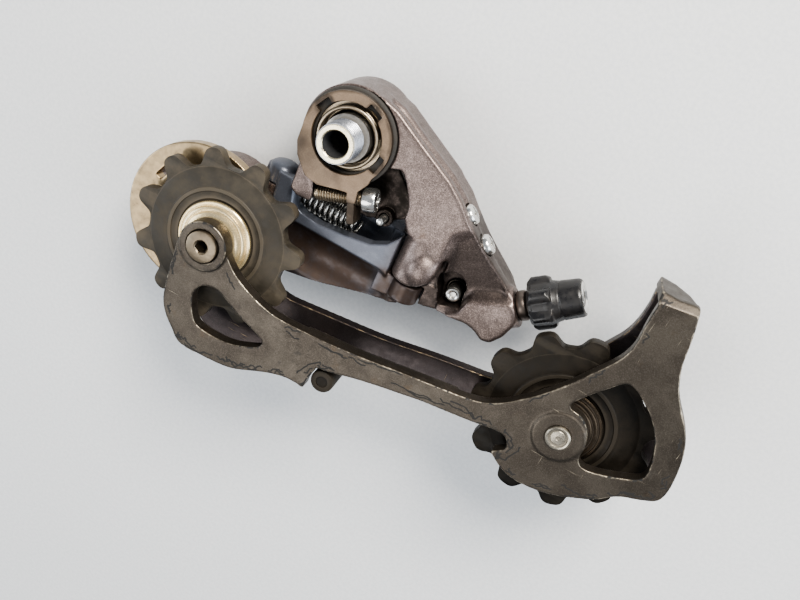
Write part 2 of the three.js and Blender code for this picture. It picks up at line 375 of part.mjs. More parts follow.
// ---------- cage ----------
const INNER = [[-27.8, -40.9], [-27.6, -38.4], [-26.8, -36.1], [-25.1, -34.1], [-22.9, -32.8], [-20.6, -32.4], [-18.5, -33.0], [-16.6, -34.4], [-13.4, -38.7], [-11.2, -40.8], [-8.4, -42.6], [-5.2, -44.1], [-1.9, -45.3], [1.3, -46.1], [4.3, -46.4], [11.1, -46.2], [15.8, -46.0], [21.2, -45.5], [26.6, -44.9], [31.9, -44.1], [37.1, -43.3], [42.4, -42.6], [47.4, -41.9], [51.8, -41.3], [55.1, -40.7], [57.7, -40.0], [59.9, -39.0], [61.9, -37.7], [63.8, -36.1], [67.4, -32.5], [70.7, -28.6], [73.7, -24.5], [76.5, -20.0], [79.2, -15.6], [80.4, -13.3], [81.2, -10.9], [81.6, -8.6], [81.3, -3.7], [81.2, 0.8], [81.1, 4.4], [85.1, 5.0], [89.3, 5.5], [90.8, 1.3], [91.9, -3.4], [92.8, -7.7], [93.6, -9.9], [94.7, -12.3], [96.2, -14.8], [99.6, -19.0], [101.2, -21.0], [102.6, -23.2], [103.7, -25.5], [104.6, -28.1], [105.3, -30.9], [105.8, -33.7], [106.1, -36.2], [106.1, -38.3], [105.8, -40.0], [105.0, -41.2], [103.6, -42.1], [98.5, -44.3], [96.4, -45.6], [93.8, -48.2], [92.1, -49.4], [86.9, -52.1], [83.9, -53.3], [81.2, -54.1], [76.0, -54.8], [73.5, -54.7], [71.3, -54.2], [69.2, -53.3], [67.4, -52.1], [65.9, -50.8], [68.5, -48.2], [68.0, -46.5], [66.9, -45.3], [65.1, -44.9], [62.7, -45.1], [56.9, -46.2], [53.2, -46.7], [49.2, -47.2], [44.6, -47.8], [39.5, -48.8], [34.3, -49.8], [29.3, -50.9], [25.1, -52.0], [19.7, -53.5], [17.7, -53.9], [16.6, -58.4], [16.4, -61.0], [12.4, -60.8], [10.3, -61.1], [7.8, -61.8], [2.2, -64.2], [-2.5, -66.3], [-4.5, -66.8], [-9.0, -67.3], [-14.8, -67.6], [-17.1, -67.5], [-18.8, -67.1], [-20.2, -66.1], [-23.0, -63.2], [-24.4, -61.6], [-25.7, -59.6], [-26.6, -57.3], [-27.1, -54.4], [-27.4, -50.9], [-27.6, -47.1]];
const WIN1 = [[-19.0, -50.4], [-18.1, -49.0], [-16.6, -48.1], [-14.8, -47.6], [-12.8, -47.9], [-10.9, -48.8], [-8.6, -50.0], [-5.5, -51.5], [-2.2, -52.7], [0.3, -53.7], [1.8, -54.5], [2.2, -55.4], [1.9, -56.3], [0.7, -57.3], [-1.8, -58.5], [-5.1, -59.8], [-8.3, -60.3], [-11.3, -60.4], [-14.0, -60.2], [-15.9, -59.6], [-17.1, -58.4], [-18.2, -56.4], [-19.0, -54.1], [-19.4, -52.1]];
const WIN2 = [[76.6, -28.5], [77.6, -26.8], [79.0, -24.7], [80.5, -22.7], [82.0, -20.8], [83.3, -19.1], [84.4, -18.0], [85.5, -17.7], [86.9, -18.0], [88.6, -18.9], [90.6, -20.3], [92.7, -21.9], [94.5, -23.8], [96.1, -25.8], [97.5, -28.2], [98.7, -31.1], [99.5, -33.8], [99.8, -35.8], [99.6, -37.3], [98.7, -38.4], [97.2, -39.3], [95.2, -40.2], [93.1, -41.1], [90.9, -41.9], [88.8, -42.5], [87.0, -42.7], [85.6, -42.2], [84.8, -41.1], [84.6, -39.7], [84.5, -37.6], [83.9, -35.2], [82.7, -32.9], [81.1, -31.3], [79.5, -30.5], [78.1, -30.3], [77.2, -30.1], [76.5, -29.6]];
{
  let m = add(prism(thin(INNER, 0.14), IN0, IN1, [thin(WIN1, 0.12), thin(WIN2, 0.12)]), cylZ(G[0], G[1], IN0, 11.5, 6.5, 44), cylZ(T[0], T[1], IN0, 10.95, 6.4, 44));
  const tab = prismY([[81.0, 10.6], [89.5, 10.6], [89.5, 5.8], [87.6, 1.8], [84.2, -0.9], [80.2, -1.75], [80.3, 3.5]], 2.6, 5.0);
  m = add(m, tab);
  // rib under the arm's upper edge
  m = add(m, prism([[11.1, -46.3], [26.6, -45.0], [42.4, -42.7], [51.8, -41.4], [51.8, -43.0], [42.4, -44.3], [26.6, -46.6], [11.1, -47.9]], 6.2, 8));
  m = sub(m, cylZ(G[0], G[1], 9.6, 12, 4.45, 36), cylZ(G[0], G[1], 5, 12, 2.9, 28), cylZ(T[0], T[1], 5, 12, 3.0, 28));
  put('inner_cage_plate', m, C_PLATE, 0.45, 0.75);
}
const OUTER = [[0.8, -47.4], [5, -47.6], [13.8, -47.0], [19.8, -46.7], [25.5, -46.2], [31, -45.3], [36.5, -44.4], [41.9, -43.5], [47.4, -42.6], [52.8, -41.7], [55.6, -41.0], [58.2, -40.0], [60.6, -38.7], [62.6, -37.1], [66.2, -33.7], [69.6, -29.9], [72.6, -25.8], [75.6, -21.1], [78.3, -15.9], [79.9, -12.9], [80.9, -9.9], [81.4, -6.6], [81.5, -2.4], [81.4, 1.6], [85.0, 2.2], [88.6, 2.4], [89.8, 0.6], [91.0, -3.6], [91.9, -7.9], [93.8, -12.7], [95.3, -15.2], [98.7, -19.4], [101.6, -23.6], [103.6, -28.3], [104.8, -33.9], [105.1, -36.4], [105.0, -38.3], [104.1, -40.7], [98.0, -43.6], [93.2, -47.5], [86.4, -51.2], [80.9, -53.2], [76.0, -53.8], [71.6, -53.2], [67.9, -51.2], [64.6, -47.6], [60.8, -46.6], [53.2, -47.4], [44.6, -48.8], [34.3, -50.6], [25.1, -53.0], [17.0, -56.2], [12, -59.4], [4, -63.0], [-3, -65.6], [-9, -66.8], [-15, -67.0], [-19, -66.0], [-23, -62.4], [-26, -59.0], [-29.8, -58.5], [-29.8, -38.7], [-10.4, -37.0], [-8.6, -41.6], [-4.6, -45.6]];
const inset = (poly, k, c) => poly.map((p) => [c[0] + (p[0] - c[0]) * k, c[1] + (p[1] - c[1]) * k]);
{
  let m = add(prism(thin(OUTER, 0.14), OU0, OU1, [inset(thin(WIN2, 0.12), 0.92, [89, -30])]), cylZ(P0[0], P0[1], OU0, OU1, R_DISC, 72));
  m = sub(m, cylZ(P0[0], P0[1], -9, 0, 4.3, 32), cylZ(G[0], G[1], -9, 0, 2.9, 28), cylZ(T[0], T[1], -9, 0, 2.9, 28));
  // blind seat for the stop pin, and the spring-end slot
  const sa = 163 * Math.PI / 180;
  m = sub(m, obox([-42.2, -31.2, -3.7], [0.45, 0.89, 0], [-0.89, 0.45, 0], [2.4, 0.9, 4]));
  m = sub(m, cylZ(P0[0] + 17 * Math.cos(sa), P0[1] + 17 * Math.sin(sa), -9, -3.4, 1.6, 20));
  put('outer_cage_plate', m, C_WORN, 0.4, 0.85);
  put('cage_stop_pin', cylZ(P0[0] + 17 * Math.cos(sa), P0[1] + 17 * Math.sin(sa), -9.6, -3.6, 1.3, 18), C_STEEL, 0.35, 0.9);
}
put('cage_spacer', lathe([[0, -1.8], [2.7, -1.8], [3.1, -1.2], [3.1, 8.9], [2.6, 9.6], [0, 9.6]], [20.2, -57.4, 0], [0, 0, 1], 24), C_DARK, 0.7, 0.1);
{
  let m = lathe([[0, -27.6], [5.6, -27.6], [6.4, -27.0], [6.4, -26.5], [4.0, -26.5], [4.0, -2.4], [3.7, -2.2], [0, -2.2]], [P0[0], P0[1], 0], [0, 0, 1], 32);
  m = sub(m, toM(new THREE.CylinderGeometry(2.9, 2.9, 5, 6).rotateX(Math.PI / 2).translate(P0[0], P0[1], -27.6)));
  put('p_axle', m, C_STEEL, 0.35, 0.9);
}
// tooth outline: the radius swings evenly between the root and the tip
function pulleyOutline(c, ph) {
  const n = TEETH * 12, out = [];
  for (let k = 0; k < n; k++) {
    const u = 2 * Math.PI * k / n, r = (R_TIP + R_ROOT) / 2 + (R_TIP - R_ROOT) / 2 * Math.cos(TEETH * u), a = u + ph * Math.PI / 180;
    out.push([c[0] + r * Math.cos(a), c[1] + r * Math.sin(a)]);
  }
  return out;
}
for (const [n, c, ph] of [['guide_pulley', G, PH_G], ['tension_pulley', T, PH_T]]) {
  const teeth = prism(pulleyOutline(c, ph), ZP - 1.15, ZP + 1.15, [circle(c[0], c[1], 16, 24)]);
  const web = lathe([[4.6, -1.5], [11.4, -1.5], [12.4, -2.2], [17.4, -2.0], [18.8, -1.15], [18.8, 1.15], [17.4, 2.0], [12.4, 2.2], [11.4, 1.5], [4.6, 1.5]], [c[0], c[1], ZP], [0, 0, 1], 52);
  put(n, add(teeth, web), C_PULLEY, 0.75, 0.0);
  const s = n.split('_')[0];
  // dust caps, dished towards the pulley rim
  const capP = [[4.7, 3.7], [7.0, 3.7], [9.4, 1.85], [10.1, 1.85], [9.6, 3.3], [7.3, 4.35], [4.7, 4.35]];
  put(s + '_cap_inner', lathe(capP, [c[0], c[1], ZP], [0, 0, 1], 44), C_CAP, 0.3, 0.9);
  put(s + '_cap_outer', lathe(capP.map((p) => [p[0], -p[1]]).reverse(), [c[0], c[1], ZP], [0, 0, 1], 44), C_CAP, 0.3, 0.9);
  put(s + '_bushing', sub(cylZ(c[0], c[1], OU1 + 0.3, IN0 - 0.3, 4.3, 28), cylZ(c[0], c[1], -6, 12, 2.8, 24)), C_STEEL, 0.35, 0.9);
}
{
  let m = lathe([[0, OU0 + 0.2], [2.5, OU0 + 0.2], [2.5, 9.9], [4.15, 9.9], [4.15, 11.9], [3.95, 12.1], [0, 12.1]], [G[0], G[1], 0], [0, 0, 1], 32);
  m = sub(m, toM(new THREE.CylinderGeometry(2.3, 2.3, 5, 6).rotateX(Math.PI / 2).rotateZ(0.4).translate(G[0], G[1], 12.1)));
  put('guide_bolt', m, C_WORN, 0.35, 0.85);
  let t = lathe([[0, -8.4], [3.7, -8.4], [4.2, -7.9], [4.2, OU0 - 0.3], [2.5, OU0 - 0.3], [2.5, 10.6], [2.1, 11.1], [0, 11.3]], [T[0], T[1], 0], [0, 0, 1], 28);
  t = sub(t, toM(new THREE.CylinderGeometry(2.3, 2.3, 4, 6).rotateX(Math.PI / 2).translate(T[0], T[1], -8.4)));
  put('tension_bolt', t, C_STEEL, 0.3, 0.9);
}

export default group;
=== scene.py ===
import bpy, bmesh, math
import numpy as np
from mathutils import Vector, Matrix, Quaternion
from mathutils.geometry import tessellate_polygon


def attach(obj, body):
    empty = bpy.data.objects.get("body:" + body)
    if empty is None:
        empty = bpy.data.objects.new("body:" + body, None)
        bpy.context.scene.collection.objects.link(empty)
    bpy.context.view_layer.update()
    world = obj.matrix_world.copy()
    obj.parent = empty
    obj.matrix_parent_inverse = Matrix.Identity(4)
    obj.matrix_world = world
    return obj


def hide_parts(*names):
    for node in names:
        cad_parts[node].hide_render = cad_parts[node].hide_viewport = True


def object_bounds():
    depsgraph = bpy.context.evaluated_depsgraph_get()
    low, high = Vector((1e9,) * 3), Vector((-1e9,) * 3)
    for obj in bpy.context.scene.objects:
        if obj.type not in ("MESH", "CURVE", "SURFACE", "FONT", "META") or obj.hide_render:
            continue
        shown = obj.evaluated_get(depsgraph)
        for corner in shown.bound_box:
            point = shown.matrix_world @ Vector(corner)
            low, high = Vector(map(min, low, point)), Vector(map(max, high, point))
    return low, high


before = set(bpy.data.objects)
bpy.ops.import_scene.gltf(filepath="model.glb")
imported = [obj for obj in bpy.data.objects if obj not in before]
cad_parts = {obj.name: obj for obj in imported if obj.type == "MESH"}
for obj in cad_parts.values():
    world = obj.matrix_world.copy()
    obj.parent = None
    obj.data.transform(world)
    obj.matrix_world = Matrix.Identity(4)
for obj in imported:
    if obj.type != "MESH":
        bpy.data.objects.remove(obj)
CAD_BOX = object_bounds()
MM = 0.001

# ------------------------------------------------------------------ solids
# A solid is a closed Blender mesh in millimetres.
tmp_collection = bpy.context.scene.collection


def mesh_of(verts, faces, name="m"):
    me = bpy.data.meshes.new(name)
    me.from_pydata([tuple(v) for v in verts], [], [tuple(f) for f in faces])
    me.validate()
    me.update()
    return me


def outward(me):
    bm = bmesh.new(); bm.from_mesh(me)
    bmesh.ops.recalc_face_normals(bm, faces=bm.faces)
    if bm.calc_volume(signed=True) < 0:
        bmesh.ops.reverse_faces(bm, faces=bm.faces)
    bm.to_mesh(me); bm.free()
    return me


def boolean(a, b, op):
    oa = bpy.data.objects.new("ba", a); ob = bpy.data.objects.new("bb", b)
    tmp_collection.objects.link(oa); tmp_collection.objects.link(ob)
    m = oa.modifiers.new("b", "BOOLEAN"); m.operation = op; m.object = ob
    m.solver = "MANIFOLD"
    dg = bpy.context.evaluated_depsgraph_get(); dg.update()
    out = bpy.data.meshes.new_from_object(oa.evaluated_get(dg))
    if len(out.polygons) == 0 and op != "INTERSECT":
        m.solver = "EXACT"
        dg = bpy.context.evaluated_depsgraph_get(); dg.update()
        out = bpy.data.meshes.new_from_object(oa.evaluated_get(dg))
    bpy.data.objects.remove(oa); bpy.data.objects.remove(ob)
    return out


def add(*s):
    r = s[0]
    for q in s[1:]:
        r = boolean(r, q, "UNION")
    return r


def sub(a, *s):
    for q in s:
        a = boolean(a, q, "DIFFERENCE")
    return a


def both(a, b):
    return boolean(a, b, "INTERSECT")


def basis(d):
    return Vector((0, 0, 1)).rotation_difference(Vector(d).normalized())


def place(me, p=(0, 0, 0), d=(0, 0, 1)):
    me.transform(Matrix.Translation(Vector(p)) @ basis(d).to_matrix().to_4x4())
    return me


def cyl_mesh(r0, r1, z0, z1, n):
    v, f = [], []
    for k, (r, z) in enumerate(((r0, z0), (r1, z1))):
        for i in range(n):
            a = 2 * math.pi * i / n
            v.append((r * math.cos(a), r * math.sin(a), z))
    f.append(tuple(reversed(range(n)))); f.append(tuple(range(n, 2 * n)))
    for i in range(n):
        j = (i + 1) % n
        f.append((i, j, n + j, n + i))
    return mesh_of(v, f)


def cylZ(x, y, z0, z1, r, n=96, r2=None):
    return place(cyl_mesh(r, r if r2 is None else r2, z0, z1, n), (x, y, 0))


def rod(p, d, s0, s1, r, n=64, r2=None):
    return place(cyl_mesh(r, r if r2 is None else r2, s0, s1, n), p, d)


def cylY(x, z, y0, y1, r, n=80):
    return rod((x, 0, z), (0, 1, 0), y0, y1, r, n)


def cylX(y, z, x0, x1, r, n=80):
    return rod((0, y, z), (1, 0, 0), x0, x1, r, n)


def lathe(prof, p=(0, 0, 0), d=(0, 0, 1), n=96):
    v, f, rings = [], [], []
    for r, s in prof:
        if r < 1e-6:
            rings.append([len(v)]); v.append((0, 0, s))
        else:
            rings.append(list(range(len(v), len(v) + n)))
            for i in range(n):
                a = 2 * math.pi * i / n
                v.append((r * math.cos(a), r * math.sin(a), s))
    m = len(rings)
    for k in range(m):
        A, B = rings[k], rings[(k + 1) % m]
        if len(A) == 1 and len(B) == 1:
            continue
        for i in range(n):
            j = (i + 1) % n
            if len(A) == 1:
                f.append((A[0], B[j], B[i]))
            elif len(B) == 1:
                f.append((A[i], A[j], B[0]))
            else:
                f.append((A[i], A[j], B[j], B[i]))
    return place(outward(mesh_of(v, f)), p, d)


def prism(poly, z0, z1, holes=()):
    loops = [list(poly)] + [list(h) for h in holes]
    flat = [q for l in loops for q in l]
    tris = tessellate_polygon([[Vector((x, y, 0)) for x, y in l] for l in loops])
    n = len(flat)
    v = [(x, y, z0) for x, y in flat] + [(x, y, z1) for x, y in flat]
    f = []
    for a, b, c in tris:
        f.append((a, b, c)); f.append((n + c, n + b, n + a))
    k = 0
    for l in loops:
        m = len(l)
        for i in range(m):
            j = (i + 1) % m
            f.append((k + i, k + j, n + k + j, n + k + i))
        k += m
    return outward(mesh_of(v, f))


def prismY(poly, y0, y1):
    me = prism(poly, -y1, -y0)
    me.transform(Matrix.Rotation(math.pi / 2, 4, "X"))
    return me


def box(x0, x1, y0, y1, z0, z1):
    return prism([(x0, y0), (x1, y0), (x1, y1), (x0, y1)], z0, z1)


def obox(c, u, v, h):
    U = Vector(u).normalized(); W = U.cross(Vector(v)).normalized(); VV = W.cross(U)
    me = box(-h[0], h[0], -h[1], h[1], -h[2], h[2])
    me.transform(Matrix(((U.x, VV.x, W.x, c[0]), (U.y, VV.y, W.y, c[1]), (U.z, VV.z, W.z, c[2]), (0, 0, 0, 1))))
    return me


def ball(c, r, sx=1, sy=1, sz=1, n=64):
    prof = [(r * math.sin(math.pi * i / (n // 2)), -r * math.cos(math.pi * i / (n // 2))) for i in range(n // 2 + 1)]
    prof[0] = (0, -r); prof[-1] = (0, r)
    me = lathe(prof, n=n)
    me.transform(Matrix.Translation(Vector(c)) @ Matrix.Diagonal((sx, sy, sz, 1)))
    return me


def tube(path, r, sides=12, closed=False):
    P = [Vector(q) for q in path]
    v, f = [], []
    N = len(P)
    up = None
    for i, q in enumerate(P):
        t = (P[min(i + 1, N - 1)] - P[max(i - 1, 0)]).normalized()
        if up is None:
            up = t.orthogonal().normalized()
        up = (up - t * up.dot(t)).normalized()
        w = t.cross(up)
        for k in range(sides):
            a = 2 * math.pi * k / sides
            o = q + (up * math.cos(a) + w * math.sin(a)) * r
            v.append(tuple(o))
    for i in range(N - 1):
        for k in range(sides):
            j = (k + 1) % sides
            f.append((i * sides + k, i * sides + j, (i + 1) * sides + j, (i + 1) * sides + k))
    f.append(tuple(reversed(range(sides)))); f.append(tuple(range((N - 1) * sides, N * sides)))
    return outward(mesh_of(v, f))


def helix(c, r, z0, z1, turns, seg, a0=0.0):
    n = int(turns * seg)
    return [(c[0] + r * math.cos(a0 + 2 * math.pi * turns * i / n), c[1] + r * math.sin(a0 + 2 * math.pi * turns * i / n), z0 + (z1 - z0) * i / n) for i in range(n + 1)]


def threaded(r, pitch, depth, s0, s1, p, d, n=72, step=None, fade=0.6):
    step = step or pitch / 14
    m = int((s1 - s0) / step)
    v, f = [], []
    for k in range(m + 1):
        s = s0 + (s1 - s0) * k / m
        e = min(1.0, (s - s0) / fade, (s1 - s) / fade)
        for i in range(n):
            a = 2 * math.pi * i / n
            u = (s / pitch - a / (2 * math.pi)) % 1.0
            t = abs(2 * u - 1)
            g = min(1.0, max(0.0, (t - 0.12) / 0.76))
            rr = r - depth * (1 - g) * max(e, 0) - (0.35 * (1 - max(e, 0)) if e < 1 else 0) * 0.6
            v.append((rr * math.cos(a), rr * math.sin(a), s))
    for k in range(m):
        for i in range(n):
            j = (i + 1) % n
            f.append((k * n + i, k * n + j, (k + 1) * n + j, (k + 1) * n + i))
    f.append(tuple(reversed(range(n)))); f.append(tuple(range(m * n, m * n + n)))
    return place(outward(mesh_of(v, f)), p, d)


def join(*ms):
    bm = bmesh.new()
    for m in ms:
        bm.from_mesh(m)
    out = bpy.data.meshes.new("j"); bm.to_mesh(out); bm.free()
    return out


def unit(a):
    l = math.sqrt(sum(q * q for q in a)); return tuple(q / l for q in a)


def circle(x, y, r, n, a0=0.0):
    return [(x + r * math.cos(a0 + 2 * math.pi * i / n), y + r * math.sin(a0 + 2 * math.pi * i / n)) for i in range(n)]


def spline(poly, k=4):
    """Closed Catmull-Rom curve through the points, k points a span."""
    P = [np.array(q, float) for q in poly]; n = len(P); out = []
    for i in range(n):
        p0, p1, p2, p3 = P[i - 1], P[i], P[(i + 1) % n], P[(i + 2) % n]
        for j in range(k):
            t = j / k
            out.append(tuple(0.5 * ((2 * p1) + (-p0 + p2) * t + (2 * p0 - 5 * p1 + 4 * p2 - p3) * t * t + (-p0 + 3 * p1 - 3 * p2 + p3) * t ** 3)))
    return out


# ------------------------------------------------------------------ surface attributes
def neighbour_mean(n, ed, x):
    s = np.zeros((n,) + x.shape[1:]); c = np.zeros(n)
    np.add.at(s, ed[:, 0], x[ed[:, 1]]); np.add.at(s, ed[:, 1], x[ed[:, 0]])
    np.add.at(c, ed[:, 0], 1); np.add.at(c, ed[:, 1], 1)
    c[c == 0] = 1
    return s / (c[:, None] if x.ndim > 1 else c)


def mark_curvature(me, spread=6):
    """Stores 'convex' and 'hollow' on every vertex: how sharp an outer edge or an inner corner is nearby."""
    n = len(me.vertices)
    co = np.empty(n * 3); me.vertices.foreach_get("co", co); co = co.reshape(-1, 3)
    no = np.empty(n * 3); me.vertex_normals.foreach_get("vector", no); no = no.reshape(-1, 3)
    ed = np.empty(len(me.edges) * 2, dtype=np.int64); me.edges.foreach_get("vertices", ed); ed = ed.reshape(-1, 2)
    d = co - neighbour_mean(n, ed, co)
    el = np.linalg.norm(co[ed[:, 0]] - co[ed[:, 1]], axis=1)
    le = np.zeros(n); cn = np.zeros(n)
    for k in (0, 1):
        np.add.at(le, ed[:, k], el); np.add.at(cn, ed[:, k], 1)
    le = le / np.maximum(cn, 1)
    h = (d * no).sum(1) / np.maximum(le, 1e-9)
    cv = np.clip(h * 5.0, 0, 1); hl = np.clip(-h * 5.0, 0, 1)
    for _ in range(spread):
        cv = 0.5 * cv + 0.5 * neighbour_mean(n, ed, cv)
        hl = 0.5 * hl + 0.5 * neighbour_mean(n, ed, hl)
    rim = np.clip(cv * 1.5, 0, 1)
    for _ in range(spread * 5):
        rim = np.maximum(rim * 0.97, 0.5 * rim + 0.5 * neighbour_mean(n, ed, rim))
    rim = np.clip(rim / max(1e-6, float(np.percentile(rim, 99))), 0, 1)
    for nm, a in (("convex", cv), ("hollow", hl), ("rim", rim)):
        at = me.attributes.new(nm, "FLOAT", "POINT"); at.data.foreach_set("value", a.astype(np.float32))


def coords(me):
    co = np.empty(len(me.vertices) * 3); me.vertices.foreach_get("co", co)
    return co.reshape(-1, 3)


def attribute(me, name, values):
    me.attributes.new(name, "FLOAT", "POINT").data.foreach_set("value", np.asarray(values, dtype=np.float32))


def evaluated(ob):
    dg = bpy.context.evaluated_depsgraph_get(); dg.update()
    return bpy.data.meshes.new_from_object(ob.evaluated_get(dg))


def forge(me, voxel=0.25, smooth=5, factor=0.5):
    """Rounds every edge of a solid the way a casting's or a tumbled stamping's edges are."""
    ob = bpy.data.objects.new("f", me); tmp_collection.objects.link(ob)
    r = ob.modifiers.new("r", "REMESH"); r.mode = "VOXEL"; r.voxel_size = voxel
    s = ob.modifiers.new("s", "SMOOTH"); s.factor = factor; s.iterations = smooth
    out = evaluated(ob)
    bpy.data.objects.remove(ob)
    return out


def bevelled(me, width=0.2, seg=2, angle=28):
    ob = bpy.data.objects.new("f", me); tmp_collection.objects.link(ob)
    w = ob.modifiers.new("w", "WELD"); w.merge_threshold = 0.002
    b = ob.modifiers.new("b", "BEVEL"); b.width = width; b.segments = seg; b.limit_method = "ANGLE"; b.angle_limit = math.radians(angle)
    b.use_clamp_overlap = True; b.harden_normals = False
    out = evaluated(ob)
    bpy.data.objects.remove(ob)
    return out


def show(name, me, body, mat, nodes=(), dense=False, sharp=32, spread=6):
    """Puts a finished mesh (mm) into the frame as a named piece."""
    me = me.copy(); me.name = name
    if dense:
        me.shade_smooth()
    else:
        bm = bmesh.new(); bm.from_mesh(me)
        for f in bm.faces:
            f.smooth = True
        for e in bm.edges:
            e.smooth = not (len(e.link_faces) == 2 and e.calc_face_angle(0) > math.radians(sharp))
        bm.to_mesh(me); bm.free()
    mark_curvature(me, spread if dense else 1)
    me.transform(Matrix.Scale(MM, 4))
    me.materials.clear(); me.materials.append(mat)
    ob = bpy.data.objects.new(name, me)
    bpy.context.scene.collection.objects.link(ob)
    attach(ob, body)
    if nodes:
        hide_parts(*nodes)
    return ob


# ------------------------------------------------------------------ materials
class N:
    def __init__(self, name):
        self.mat = bpy.data.materials.new(name); self.mat.use_nodes = True
        self.t = self.mat.node_tree; self.t.nodes.clear()
        self.out = self.t.nodes.new("ShaderNodeOutputMaterial")
        self.b = self.t.nodes.new("ShaderNodeBsdfPrincipled")
        self.t.links.new(self.b.outputs[0], self.out.inputs[0])
        self.co = self.t.nodes.new("ShaderNodeTexCoord").outputs["Object"]

    def link(self, a, b):
        self.t.links.new(a, b)

    def val(self, sock, v):
        if isinstance(v, (int, float, tuple, list)):
            sock.default_value = v
        else:
            self.link(v, sock)

    def map(self, scale, rot=(0, 0, 0), loc=(0, 0, 0)):
        m = self.t.nodes.new("ShaderNodeMapping"); m.inputs["Scale"].default_value = scale; m.inputs["Rotation"].default_value = rot
        m.inputs["Location"].default_value = loc
        self.link(self.co, m.inputs[0]); return m.outputs[0]

    def noise(self, scale, detail=3, rough=0.5, vec=None, dist=0.0):
        n = self.t.nodes.new("ShaderNodeTexNoise"); n.inputs["Scale"].default_value = scale; n.inputs["Detail"].default_value = detail
        n.inputs["Roughness"].default_value = rough; n.inputs["Distortion"].default_value = dist
        self.link(vec or self.co, n.inputs["Vector"]); return n.outputs[0]

    def voronoi(self, scale, vec=None, feature="F1", out="Distance", rand=1.0):
        n = self.t.nodes.new("ShaderNodeTexVoronoi"); n.feature = feature; n.inputs["Scale"].default_value = scale
        n.inputs["Randomness"].default_value = rand
        self.link(vec or self.co, n.inputs["Vector"]); return n.outputs[out]

    def attr(self, name):
        n = self.t.nodes.new("ShaderNodeAttribute"); n.attribute_name = name; return n.outputs["Fac"]

    def math(self, op, a, b=0.0, c=0.0):
        n = self.t.nodes.new("ShaderNodeMath"); n.operation = op
        self.val(n.inputs[0], a); self.val(n.inputs[1], b); self.val(n.inputs[2], c); return n.outputs[0]

    def step(self, x, lo, hi, a=0.0, b=1.0):
        n = self.t.nodes.new("ShaderNodeMapRange"); n.interpolation_type = "SMOOTHSTEP"
        self.val(n.inputs[0], x); n.inputs[1].default_value = lo; n.inputs[2].default_value = hi; n.inputs[3].default_value = a; n.inputs[4].default_value = b
        return n.outputs[0]

    def mix(self, f, a, b):
        n = self.t.nodes.new("ShaderNodeMix"); n.data_type = "RGBA"
        self.val(n.inputs[0], f)
        for s, v in ((n.inputs[6], a), (n.inputs[7], b)):
            if isinstance(v, tuple):
                s.default_value = (*v[:3], 1)
            else:
                self.link(v, s)
        return n.outputs[2]

    def mixf(self, f, a, b):
        n = self.t.nodes.new("ShaderNodeMix"); n.data_type = "FLOAT"
        self.val(n.inputs[0], f); self.val(n.inputs[2], a); self.val(n.inputs[3], b); return n.outputs[0]

    def bump(self, height, strength=0.3, dist=0.0001, normal=None):
        n = self.t.nodes.new("ShaderNodeBump"); n.inputs["Strength"].default_value = strength; n.inputs["Distance"].default_value = dist
        self.link(height, n.inputs["Height"])
        if normal is not None:
            self.link(normal, n.inputs["Normal"])
        return n.outputs[0]

    def sepxyz(self, v=None):
        n = self.t.nodes.new("ShaderNodeSeparateXYZ"); self.link(v or self.co, n.inputs[0]); return n.outputs

    def set(self, **k):
        for a, v in k.items():
            s = self.b.inputs[a.replace("_", " ")]
            if isinstance(v, tuple):
                s.default_value = (*v[:3], 1)
            elif isinstance(v, (int, float)):
                s.default_value = v
            else:
                self.link(v, s)


